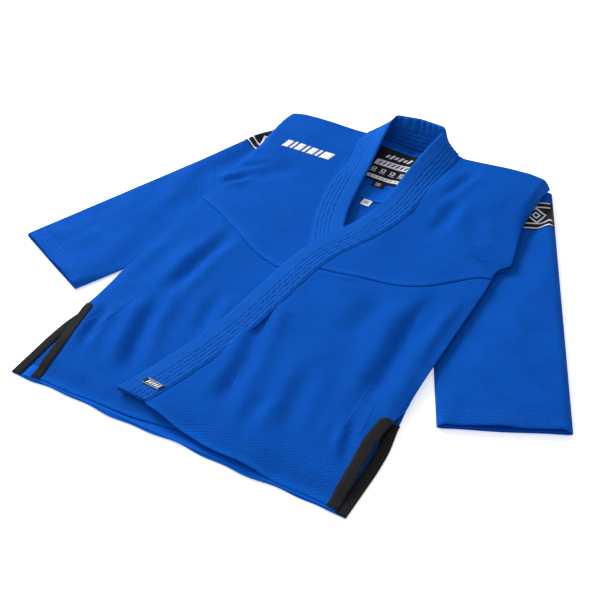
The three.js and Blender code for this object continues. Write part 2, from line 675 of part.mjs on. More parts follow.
for (const side of ["left", "right"]) {
  add(`${side}_sleeve`, sleeveTube(sleeveRings, 0, sleeveCloth), cloth.weave, side);
  const facingInset = sleeveCloth + seamGap;
  add(`${side}_cuff_facing`, sleeveTube([facingTop, sleeveLength - 2], facingInset,
    facingInset + liningCloth), cloth.lining, side);
  add(`${side}_shoulder_patch`, onSleeve(patchShares, patchRings, trimCloth), cloth.label, side);
  add(`${side}_underarm_gusset`, onSleeve(gussetShares, sleeveRings.slice(1, 7), liningCloth),
    cloth.lining, side);
}

jacket.position.y = -originHeight;
const part = new THREE.Group();
part.add(jacket);

export default part;
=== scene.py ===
"""Looks of a martial arts jacket lying on its back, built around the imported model.

The jacket is laid out flat from its hem line: x runs towards a side seam, y from the hem to the
shoulder fold and z up, in metres. Every cloth piece follows the same few height functions, so the
layers stay in order, and each piece is moved to the model's frame as its mesh is made.
"""
import json
import logging
import math
from collections.abc import Callable
from dataclasses import dataclass, field
from enum import Enum

import bpy
import numpy as np
from mathutils import Matrix, Vector


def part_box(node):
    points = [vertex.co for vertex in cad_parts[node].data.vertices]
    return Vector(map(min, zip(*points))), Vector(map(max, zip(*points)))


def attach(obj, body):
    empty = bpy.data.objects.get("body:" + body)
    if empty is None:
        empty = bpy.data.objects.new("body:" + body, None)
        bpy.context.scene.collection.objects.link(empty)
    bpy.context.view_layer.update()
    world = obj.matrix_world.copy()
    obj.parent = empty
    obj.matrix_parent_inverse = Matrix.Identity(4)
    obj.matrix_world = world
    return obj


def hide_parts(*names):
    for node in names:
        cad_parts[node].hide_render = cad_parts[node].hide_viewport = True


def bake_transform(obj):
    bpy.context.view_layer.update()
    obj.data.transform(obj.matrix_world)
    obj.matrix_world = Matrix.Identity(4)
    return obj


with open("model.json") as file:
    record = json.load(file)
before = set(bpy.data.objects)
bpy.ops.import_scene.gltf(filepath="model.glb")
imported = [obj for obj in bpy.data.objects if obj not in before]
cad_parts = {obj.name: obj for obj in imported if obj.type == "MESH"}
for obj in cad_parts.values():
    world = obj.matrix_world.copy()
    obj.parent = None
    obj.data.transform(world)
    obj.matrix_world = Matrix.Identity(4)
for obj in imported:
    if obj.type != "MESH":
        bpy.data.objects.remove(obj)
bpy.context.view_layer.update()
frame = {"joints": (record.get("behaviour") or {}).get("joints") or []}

log = logging.getLogger("jacket")
Array = np.ndarray
MM = 0.001
MIRROR = np.array([-1.0, 1.0, 1.0])
SEAM_EASE = 12 * MM


class Side(Enum):
    """The wearer's side that a piece belongs to, as the sign of its x."""

    LEFT = 1
    RIGHT = -1

    @property
    def word(self) -> str:
        """The side's name as the pieces use it."""
        return self.name.lower()


class Weave(Enum):
    """The ways in which the jacket's cloths are woven."""

    PEARL = "pearl"
    DRILL = "drill"
    PLAIN = "plain"
    TWILL = "twill"
    SATIN = "satin"


# ---- Small helpers -------------------------------------------------------------------------------
def lerp(a: Array, b: Array, share: Array) -> Array:
    """The value a share of the way from a to b."""
    return a + (b - a) * share


def smoothstep(x: Array, low: float, high: float) -> Array:
    """A smooth step from 0 at low to 1 at high, which may be the lower of the two."""
    t = np.clip((np.asarray(x, float) - low) / (high - low), 0, 1)
    return t * t * (3 - 2 * t)


def bell(x: Array, width: float) -> Array:
    """A smooth bump of height 1 at 0 that fades over a width."""
    return np.exp(-((np.asarray(x, float) / width) ** 2))


def unit(v: Array) -> Array:
    """Vectors along the last axis, at length 1."""
    return v / np.maximum(np.linalg.norm(v, axis=-1, keepdims=True), 1e-12)


def travelled(points: Array) -> Array:
    """How far along a run of points each one lies."""
    return np.append(0, np.cumsum(np.linalg.norm(np.diff(points, axis=0), axis=1)))


def sampled(at: Array, reached: Array, points: Array) -> Array:
    """The points at some distances along a run of them."""
    return np.stack([np.interp(at, reached, column) for column in points.T], -1)


def shares(columns: int, rows: int) -> tuple[Array, Array]:
    """The shares across and along at the points of an even grid."""
    return np.meshgrid(np.linspace(0, 1, columns), np.linspace(0, 1, rows), indexing="ij")


def spread(across: Array, along: Array) -> Array:
    """Cloth coordinates on a grid, with a row for each step along."""
    return np.stack(np.broadcast_arrays(across[None], along[:, None]), -1)


def flat_row(points: Array, up: float = 1.0) -> tuple[Array, Array]:
    """A row of points for stitches, with normals that point straight up or down."""
    return points, np.tile([0.0, 0.0, up], (len(points), 1))


def as_faces(corners: Array) -> list:
    """Quads as tuples of indices."""
    return [tuple(q) for q in corners.reshape(-1, 4).tolist()]


def soften(values: Array, sigma: float) -> Array:
    """Rounds the corners of a run of points.

    Args:
        values: Points in even steps, one a row.
        sigma: Reach of the rounding, in steps.

    Returns:
        As many points, with the two ends kept.
    """
    reach = min(int(3 * sigma) + 1, len(values) - 1)
    kernel = np.exp(-0.5 * (np.arange(-reach, reach + 1) / max(sigma, 1e-6)) ** 2)
    kernel /= kernel.sum()
    head = 2 * values[0] - values[reach:0:-1]
    tail = 2 * values[-1] - values[-2:-reach - 2:-1]
    padded = np.concatenate([head, values, tail])
    return np.stack([np.convolve(column, kernel, "valid") for column in padded.T], 1)


class Course:
    """A smooth line through a few points, laid out by distance along it."""

    def __init__(self, points: list, ease: float = SEAM_EASE, step: float = 2 * MM) -> None:
        """Lays the line out.

        Args:
            points: Points that shape the line, in order.
            ease: Reach over which a corner is rounded.
            step: Distance between the line's own points.
        """
        raw = np.array(points, float)
        lengths = travelled(raw)
        count = max(int(lengths[-1] / step), 2)
        at = np.linspace(0, lengths[-1], count + 1)
        self.points = soften(sampled(at, lengths, raw), ease / step)
        self.reached = travelled(self.points)
        self.length = float(self.reached[-1])

    def at(self, distance: Array) -> Array:
        """The points at distances along the line."""
        return sampled(distance, self.reached, self.points)

    def x_at(self, y: Array) -> Array:
        """The x of a line that climbs in y."""
        return np.interp(y, self.points[:, 1], self.points[:, 0])

    def y_at(self, x: Array) -> Array:
        """The y of a line that climbs in x."""
        return np.interp(x, self.points[:, 0], self.points[:, 1])

    def distance_at_y(self, y: Array) -> Array:
        """How far along a line that climbs in y a height is reached."""
        return np.interp(y, self.points[:, 1], self.reached)

    def nearest(self, x: Array, y: Array) -> tuple[Array, Array]:
        """Measures plan points against the line.

        Args:
            x: Plan points' x.
            y: Plan points' y.

        Returns:
            Their distances from the line, and the shares of its length at which they are nearest.
        """
        line = self.points[::4, :2]
        flat = np.stack([np.ravel(x), np.ravel(y)], 1)
        apart = np.linalg.norm(flat[:, None, :] - line[None], axis=2)
        near = apart.argmin(1)
        shape = np.shape(x)
        return apart.min(1).reshape(shape), (near / (len(line) - 1)).reshape(shape)


class Ripple:
    """The slight unevenness of laid cloth: a sum of long soft waves."""

    def __init__(self, seed: int, shortest: float, longest: float, waves: int = 14) -> None:
        """Draws the waves, always the same for one seed."""
        draw = np.random.default_rng(seed)
        turn = draw.uniform(0, 2 * math.pi, waves)
        length = draw.uniform(shortest, longest, waves)
        self.kx = 2 * math.pi * np.cos(turn) / length
        self.ky = 2 * math.pi * np.sin(turn) / length
        self.phase = draw.uniform(0, 2 * math.pi, waves)
        self.scale = 1 / math.sqrt(waves)

    def at(self, x: Array, y: Array) -> Array:
        """The waves' height at plan points, about -1 to 1."""
        total = np.zeros(np.shape(x))
        for kx, ky, phase in zip(self.kx, self.ky, self.phase):
            total = total + np.sin(kx * x + ky * y + phase)
        return total * self.scale


@dataclass(frozen=True)
class Fold:
    """One valley or ridge in a cloth, along a line on its own side of the jacket."""

    line: tuple
    width: float
    depth: float
    fade: float = 0.3
    crest: float = 0.45

    def height(self, x: Array, y: Array) -> Array:
        """Works out what the fold adds to the cloth's height.

        Args:
            x: Plan points' x.
            y: Plan points' y.

        Returns:
            The change of height, with a low crest on both sides of the valley.
        """
        apart, share = Course(self.line, 20 * MM).nearest(x, y)
        ends = smoothstep(share, 0, self.fade) * smoothstep(1 - share, 0, self.fade)
        valley = bell(apart, self.width)
        crest = self.crest * bell(apart - 1.9 * self.width, self.width)
        return -self.depth * ends * (valley - crest)


def folds_of(rows: dict) -> dict:
    """The folds of each side, from rows of a line, a width and a depth in mm and the rest."""
    return {side: tuple(Fold(line, width * MM, depth * MM, *rest)
                        for line, width, depth, *rest in side_rows)
            for side, side_rows in rows.items()}


# ---- Finishes ------------------------------------------------------------------------------------
class Nodes:
    """A new node material, with short calls to add and join its nodes."""

    def __init__(self, name: str) -> None:
        """Starts a material that holds a surface shader only."""
        self.material = bpy.data.materials.new(name)
        self.material.use_nodes = True
        self.tree = self.material.node_tree
        self.tree.nodes.clear()
        self.shader = self.add("ShaderNodeBsdfPrincipled")
        output = self.add("ShaderNodeOutputMaterial")
        self.join(self.shader, "BSDF", output, "Surface")

    def add(self, kind: str, **values: object) -> bpy.types.Node:
        """Adds a node and sets its own options and its input sockets.

        Args:
            kind: The node's Blender type.
            **values: Options by name, and sockets by name with _ for a space.

        Returns:
            The node.
        """
        node = self.tree.nodes.new(kind)
        for key, value in values.items():
            if hasattr(node, key):
                setattr(node, key, value)
            else:
                node.inputs[key.replace("_", " ")].default_value = value
        return node

    def join(self, a: bpy.types.Node, out: str | int, b: bpy.types.Node, socket: str | int) -> None:
        """Links a node's output to another's input."""
        self.tree.links.new(a.outputs[out], b.inputs[socket])

    def fed(self, kind: str, source: tuple, **values: object) -> bpy.types.Node:
        """Adds a node as add() does, and links a node's output to its first input."""
        node = self.add(kind, **values)
        self.join(*source, node, 0)
        return node

    def surface(self, **values: object) -> None:
        """Sets the shader's sockets, by name with _ for a space."""
        for key, value in values.items():
            self.shader.inputs[key.replace("_", " ")].default_value = value

    def relief(self, source: tuple, strength: float, distance: float) -> None:
        """Raises the surface by a node's output."""
        bump = self.add("ShaderNodeBump", Strength=strength, Distance=distance)
        self.join(*source, bump, "Height")
        self.join(bump, 0, self.shader, "Normal")

    def math(self, operation: str, a: tuple, b: tuple | float) -> tuple:
        """Adds a math node.

        Args:
            operation: Its Blender operation.
            a: A node and its output.
            b: The same, or a number.

        Returns:
            The node and its output.
        """
        node = self.fed("ShaderNodeMath", a, operation=operation)
        if isinstance(b, tuple):
            self.join(*b, node, 1)
        else:
            node.inputs[1].default_value = b
        return node, 0

    def dye(self, source: tuple, low: tuple, high: tuple, start: float, end: float) -> None:
        """Colours the surface by a value, from one colour to another.

        Args:
            source: A node and its output.
            low: The colour at and below start.
            high: The colour at and above end.
            start: Where the change starts.
            end: Where it ends.
        """
        node = self.fed("ShaderNodeValToRGB", source)
        node.color_ramp.elements[0].position = start
        node.color_ramp.elements[1].position = end
        node.color_ramp.elements[0].color = (*low, 1)
        node.color_ramp.elements[1].color = (*high, 1)
        self.join(node, 0, self.shader, "Base Color")


@dataclass(frozen=True)
class Cloth:
    """A woven finish: two tones, a weave with a grain size, and how it takes the light."""

    name: str
    slot: str
    weave: Weave
    light: tuple
    dark: tuple
    grain: float
    relief: float
    roughness: float = 0.85
    sheen: float = 0.2
    sheen_tint: tuple = (0.3, 0.5, 1.0, 1.0)

    def _threads(self, n: Nodes, cloth: tuple) -> tuple:
        """Adds the pattern of the threads.

        Args:
            n: The material in the making.
            cloth: The node and output with the cloth's own coordinates, in metres.

        Returns:
            The node and output that hold the threads' height, from 0 to 1.
        """
        if self.weave in (Weave.TWILL, Weave.SATIN, Weave.DRILL):
            lean = n.fed("ShaderNodeMapping", cloth, Rotation=(0, 0, math.radians(38)))
            wave = n.fed("ShaderNodeTexWave", (lean, 0), Scale=1.0 / self.grain / 6.4, Distortion=0.6,
                         Detail=1.0, Detail_Scale=2.0)
            return wave, "Fac"
        if self.weave is Weave.PLAIN:
            checks = n.fed("ShaderNodeTexVoronoi", cloth, Scale=0.9 / self.grain, Randomness=0.15)
            return n.math("SUBTRACT", (checks, 0), 0.1)
        bias = n.fed("ShaderNodeMapping", cloth, Rotation=(0, 0, math.radians(-33)))
        grains = n.fed("ShaderNodeTexBrick", (bias, 0), Scale=1.0, Mortar_Size=self.grain * 0.34,
                       Mortar_Smooth=1.0, Brick_Width=self.grain * 1.55, Row_Height=self.grain,
                       offset=0.5, squash=1.0, Color1=(1, 1, 1, 1), Color2=(0.82, 0.82, 0.82, 1),
                       Mortar=(0, 0, 0, 1))
        ribs = n.fed("ShaderNodeTexWave", (bias, 0), bands_direction="Y", Scale=0.157 / self.grain,
                     Distortion=2.5, Detail=1.0, Detail_Scale=0.6)
        return n.math("ADD", n.math("MULTIPLY", (grains, "Color"), 0.84),
                      n.math("MULTIPLY", (ribs, "Fac"), 0.16))

    def build(self) -> bpy.types.Material:
        """Makes the material: threads, fibres, soft blotches of tone and worn edges."""
        n = Nodes(self.name)
        cloth = (n.add("ShaderNodeUVMap", uv_map="cloth"), 0)
        threads = self._threads(n, cloth)
        fibres = (n.fed("ShaderNodeTexNoise", cloth, Scale=1.1 / self.grain, Detail=3.0), 0)
        blotch = (n.fed("ShaderNodeTexNoise", cloth, Scale=16.0, Detail=3.0, Roughness=0.62), 0)
        worn = (n.add("ShaderNodeAttribute", attribute_name="wear"), "Fac")
        tone = n.math("MULTIPLY", threads, 0.42)
        for part, weight in ((fibres, 0.3), (blotch, 0.42), (worn, 0.32)):
            tone = n.math("ADD", tone, n.math("MULTIPLY", part, weight))
        n.dye(tone, self.dark, self.light, 0.25, 0.85)
        swing = 0.08
        rough = n.fed("ShaderNodeMapRange", fibres, To_Min=self.roughness - swing,
                      To_Max=self.roughness + swing)
        n.join(rough, 0, n.shader, "Roughness")
        height = n.math("ADD", threads, n.math("MULTIPLY", fibres, 0.5))
        n.relief(height, 0.75, self.relief)
        n.surface(Sheen_Weight=self.sheen, Sheen_Roughness=0.45, Sheen_Tint=self.sheen_tint,
                  Specular_IOR_Level=0.05)
        return n.material


@dataclass(frozen=True)
class Thread:
    """A finish for sewing and embroidery thread: fine twisted plies with a soft shine."""

    name: str
    light: tuple
    dark: tuple
    shine: float = 0.3

    def build(self) -> bpy.types.Material:
        """Makes the material."""
        n = Nodes(self.name)
        place = (n.add("ShaderNodeTexCoord"), "Object")
        plies = (n.fed("ShaderNodeTexWave", place, Scale=420.0, Distortion=1.2, Detail=1.0), "Fac")
        patchy = n.fed("ShaderNodeTexNoise", place, Scale=220.0, Detail=2.0)
        tone = n.math("ADD", plies, (patchy, 0))
        n.dye(n.math("MULTIPLY", tone, 0.5), self.dark, self.light, 0.2, 0.8)
        n.relief(plies, 0.5, 0.15 * MM)
        n.surface(Roughness=0.6, Specular_IOR_Level=self.shine)
        return n.material


@dataclass(frozen=True)
class Foam:
    """A finish for the strips inside the lapel: closed fine cells."""

    name: str
    light: tuple
    dark: tuple

    def build(self) -> bpy.types.Material:
        """Makes the material."""
        n = Nodes(self.name)
        place = (n.add("ShaderNodeTexCoord"), "Object")
        cells = (n.fed("ShaderNodeTexVoronoi", place, Scale=900.0), 0)
        n.dye(cells, self.dark, self.light, 0.0, 0.6)
        n.relief(cells, 0.4, 0.3 * MM)
        n.surface(Roughness=0.8)
        return n.material


BLUE_SHEEN = (0.02, 0.25, 1.0, 1.0)
PEARL = Cloth("pearl_weave_blue", "weave", Weave.PEARL,
              (0.0018, 0.117, 0.615), (0.0012, 0.057, 0.365), 2.6 * MM, 2.0 * MM, 0.88, 0.06, BLUE_SHEEN)
DRILL = Cloth("drill_blue", "drill", Weave.DRILL, (0.004, 0.113, 0.55), (0.002, 0.064, 0.365),
              1.5 * MM, 0.7 * MM, 0.86, 0.08, BLUE_SHEEN)
LINING = Cloth("lining_blue", "lining", Weave.PLAIN, (0.0022, 0.112, 0.60), (0.0015, 0.068, 0.42),
               1.2 * MM, 0.3 * MM, 0.85, 0.05, BLUE_SHEEN)
TAPE = Cloth("twill_tape_black", "tape", Weave.TWILL, (0.024, 0.023, 0.026), (0.008, 0.008, 0.009),
             1.4 * MM, 0.4 * MM, 0.85, 0.05, (0.6, 0.6, 0.7, 1.0))
DAMASK = Cloth("label_black", "label", Weave.SATIN, (0.020, 0.020, 0.024), (0.007, 0.007, 0.009),
               0.6 * MM, 0.1 * MM, 0.62, 0.1, (0.5, 0.5, 0.6, 1.0))
NAVY = Cloth("label_navy", "label", Weave.SATIN, (0.012, 0.022, 0.075), (0.005, 0.009, 0.035),
             0.6 * MM, 0.1 * MM, 0.62, 0.05, BLUE_SHEEN)
WHITE_LABEL = Cloth("label_white", "white", Weave.SATIN, (0.86, 0.87, 0.9), (0.7, 0.71, 0.75),
                    0.6 * MM, 0.1 * MM, 0.7, 0.1, (1.0, 1.0, 1.0, 1.0))
WHITE_THREAD = Thread("thread_white", (0.84, 0.86, 0.9), (0.58, 0.6, 0.66), 0.45)
# The sewing thread is the fabric's own blue. Its tones are set a little darker than the cloth as painted
# shade of the sewn channels, so the rows read as dark dotted lines.
SHADED_BLUE_THREAD = Thread("thread_blue", (0.006, 0.105, 0.52), (0.004, 0.06, 0.34))
PALE_THREAD = Thread("thread_light_blue", (0.03, 0.2, 0.75), (0.015, 0.13, 0.55))
BLACK_THREAD = Thread("thread_black", (0.05, 0.05, 0.055), (0.02, 0.02, 0.022))
FOAM = Foam("foam_grey", (0.09, 0.09, 0.1), (0.03, 0.03, 0.034))


class Wardrobe:
    """Keeps one Blender material for each finish."""

    _made: dict = {}

    @classmethod
    def of(cls, finish: Cloth | Thread | Foam) -> bpy.types.Material:
        """The material of a finish, made the first time that it is asked for."""
        if finish.name not in cls._made:
            cls._made[finish.name] = finish.build()
        return cls._made[finish.name]


# ---- Meshes --------------------------------------------------------------------------------------
@dataclass
class Skin:
    """A mesh in the making, in the layout's own frame."""

    points: Array
    faces: list
    cloth: Array
    wear: Array | None = None

    def mirrored(self) -> "Skin":
        """The same mesh on the other side of the jacket, with its faces still pointing out."""
        return Skin(self.points * MIRROR, self.faces, self.cloth, self.wear).turned()

    def turned(self) -> "Skin":
        """The same mesh with each face pointing the other way."""
        return Skin(self.points, [tuple(reversed(f)) for f in self.faces], self.cloth, self.wear)

    def outward(self) -> "Skin":
        """The same mesh with its faces pointing out of the volume that they enclose."""
        fans = [(f[0], f[k], f[k + 1]) for f in self.faces for k in range(1, len(f) - 1)]
        a, b, c = (self.points[list(corner)] for corner in zip(*fans))
        return self if np.einsum("ij,ij->i", a, np.cross(b, c)).sum() > 0 else self.turned()

    def on(self, side: Side) -> "Skin":
        """A mesh laid out on the left, on the side that it belongs to."""
        return self if side is Side.LEFT else self.mirrored()


def joined(skins: list) -> Skin:
    """One mesh of several."""
    faces, start = [], 0
    for skin in skins:
        faces += [tuple(k + start for k in f) for f in skin.faces]
        start += len(skin.points)
    return Skin(np.concatenate([s.points for s in skins]), faces,
                np.concatenate([s.cloth for s in skins]))


def grid_faces(columns: int, rows: int, start: int = 0, flip: bool = False) -> list:
    """The quads of a grid of points.

    Args:
        columns: Number of points across.
        rows: Number of points along.
        start: Index of the first point.
        flip: True to have the quads face the other way.

    Returns:
        The quads as tuples of indices.
    """
    i, j = np.indices((columns - 1, rows - 1))
    a = start + i * rows + j
    quads = np.stack([a, a + rows, a + rows + 1, a + 1], -1)
    return as_faces(quads[..., ::-1] if flip else quads)


def normals_of(grid: Array) -> Array:
    """The upward normals of a grid of points."""
    return unit(np.cross(np.gradient(grid, axis=0), np.gradient(grid, axis=1)))


def closed_sheet(top: Array, thickness: float, wear: float = 1.0) -> Skin:
    """Gives a sheet its thickness, with rounded edges.

    Args:
        top: Grid of the upper face's points.
        thickness: Thickness of the cloth, below that face.
        wear: Strength of the paler tone along the edges.

    Returns:
        A closed skin with the cloth's own coordinates in metres.
    """
    if normals_of(top)[..., 2].mean() < 0:
        top = top[::-1]
    n, m = top.shape[:2]
    under = top - normals_of(top) * thickness
    rim = [(i, 0) for i in range(n)] + [(n - 1, j) for j in range(1, m)]
    rim += [(i, m - 1) for i in range(n - 2, -1, -1)] + [(0, j) for j in range(m - 2, 0, -1)]
    rim = np.array(rim)
    out = np.zeros((n, m, 3))
    out[0] += unit(top[0] - top[1])
    out[-1] += unit(top[-1] - top[-2])
    out[:, 0] += unit(top[:, 0] - top[:, 1])
    out[:, -1] += unit(top[:, -1] - top[:, -2])
    middle = (top + under) / 2 + unit(out) * thickness * 0.5
    edge = middle[rim[:, 0], rim[:, 1]]
    points = np.concatenate([top.reshape(-1, 3), under.reshape(-1, 3), edge])
    faces = grid_faces(n, m) + grid_faces(n, m, n * m, True)
    upper = rim[:, 0] * m + rim[:, 1]
    lower = upper + n * m
    around = 2 * n * m + np.arange(len(rim))
    for a, b, c, d in ((upper, around, np.roll(upper, -1), np.roll(around, -1)),
                       (around, lower, np.roll(around, -1), np.roll(lower, -1))):
        faces += as_faces(np.stack([a, b, d, c], -1))
    across = np.cumsum(np.linalg.norm(np.diff(top, axis=0, prepend=top[:1]), axis=2), axis=0)
    upward = np.cumsum(np.linalg.norm(np.diff(top, axis=1, prepend=top[:, :1]), axis=2), axis=1)
    flat = np.stack([across.mean(1)[:, None] + 0 * upward, upward], -1)
    cloth = np.concatenate([flat.reshape(-1, 2), flat.reshape(-1, 2), flat[rim[:, 0], rim[:, 1]]])
    i, j = np.indices((n, m))
    near = np.minimum(np.minimum(i, n - 1 - i), np.minimum(j, m - 1 - j))
    edge_wear = wear * bell(near, 1.6)
    worn = np.concatenate([edge_wear.ravel(), edge_wear.ravel(), np.full(len(rim), wear)])
    return Skin(points, faces, cloth, worn)


def tube(rings: Array, cloth: Array, capped: bool = True) -> Skin:
    """Joins rings of points into a closed body.

    Args:
        rings: Rings of points, anticlockwise about the way they run.
        cloth: The cloth's coordinates at the same points.
        capped: True for flat end faces, False to join the last ring to the first.

    Returns:
        The skin.
    """
    count, n = rings.shape[:2]
    i, j = np.indices((count - 1 if capped else count, n))
    a, b = i * n + j, i * n + (j + 1) % n
    c, d = (a + n) % (count * n), (b + n) % (count * n)
    faces = as_faces(np.stack([a, b, d, c], -1))
    if capped:
        faces.append(tuple(range(n - 1, -1, -1)))
        faces.append(tuple((count - 1) * n + k for k in range(n)))
    return Skin(rings.reshape(-1, 3), faces, cloth.reshape(-1, 2))


@dataclass(frozen=True)
class Seam:
    """How a row of stitches is sewn."""

    length: float = 2.7 * MM
    gap: float = 1.7 * MM
    radius: float = 0.34 * MM
    lift: float = 0.1 * MM
    sides: int = 4
    swells: tuple = ((0.0, 0.45), (0.25, 1.0), (0.75, 1.0), (1.0, 0.45))

    def stitches(self, rows: list) -> Skin:
        """Sews rows of stitches.

        Args:
            rows: Pairs of points along a row and the cloth's normals at them.

        Returns:
            One skin of small spindles, each lying on the cloth.
        """
        ends = []
        for points, normals in rows:
            run = travelled(points)
            pitch = self.length + self.gap
            starts = np.arange(pitch / 2, run[-1] - pitch, pitch)
            first, last = (sampled(starts + d, run, points) for d in (0, self.length))
            ends.append(np.stack([first, last, unit(sampled(starts, run, normals))], 1))
        ends = np.concatenate(ends)
        first, last, up = ends[:, 0], ends[:, 1], ends[:, 2]
        along = unit(last - first)
        across = np.cross(along, up)
        rings = []
        for share, swell in self.swells:
            centre = lerp(first, last, share) + up * (self.lift + (swell - 1) * self.radius)
            for turn in range(self.sides):
                angle = 2 * math.pi / self.sides * turn
                spoke = across * math.cos(angle) + up * math.sin(angle)
                rings.append(centre + spoke * self.radius * swell)
        points = np.stack(rings, 1)
        n, last_ring = self.sides, len(rings) - self.sides
        shape = [(r + k, r + (k + 1) % n, r + n + (k + 1) % n, r + n + k)
                 for r in range(0, last_ring, n) for k in range(n)]
        shape += [(3, 2, 1, 0), tuple(range(last_ring, last_ring + n))]
        base = np.array(shape)
        faces = base[None] + len(rings) * np.arange(len(points))[:, None, None]
        flat = points.reshape(-1, 3)
        return Skin(flat, as_faces(faces), flat[:, :2].copy())


class Maker:
    """Turns skins into Blender objects in the model's frame."""

    hem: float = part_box("back_panel")[0].y

    @classmethod
    def make(cls, name: str, skin: Skin, finish: Cloth | Thread | Foam,
             slot: str | None = None, smooth: bool = True) -> bpy.types.Object:
        """Makes one piece.

        Args:
            name: The piece's name.
            skin: Its mesh in the layout's frame.
            finish: Its finish.
            slot: The record's material slot, or None to use the finish's own; it is worked out but not
                used.
            smooth: True for smooth shading.

        Returns:
            The object, not yet on a body.
        """
        skin = skin.outward()
        mesh = bpy.data.meshes.new(name)
        points = skin.points + np.array([0.0, cls.hem, 0.0])
        mesh.from_pydata(points.tolist(), [], skin.faces)
        corner = np.zeros(len(mesh.loops), np.int32)
        mesh.loops.foreach_get("vertex_index", corner)
        layer = mesh.uv_layers.new(name="cloth")
        layer.uv.foreach_set("vector", skin.cloth[corner].astype(np.float32).ravel())
        worn = mesh.attributes.new("wear", "FLOAT", "POINT")
        wear = skin.wear if skin.wear is not None else np.zeros(len(points))
        worn.data.foreach_set("value", wear.astype(np.float32))
        mesh.polygons.foreach_set("use_smooth", np.full(len(mesh.polygons), smooth))
        mesh.update()
        mesh.materials.append(Wardrobe.of(finish))
        piece = bpy.data.objects.new(name, mesh)
        bpy.context.scene.collection.objects.link(piece)
        named = slot or getattr(finish, "slot", None)
        log.info("%s: %d points", name, len(points))
        return piece


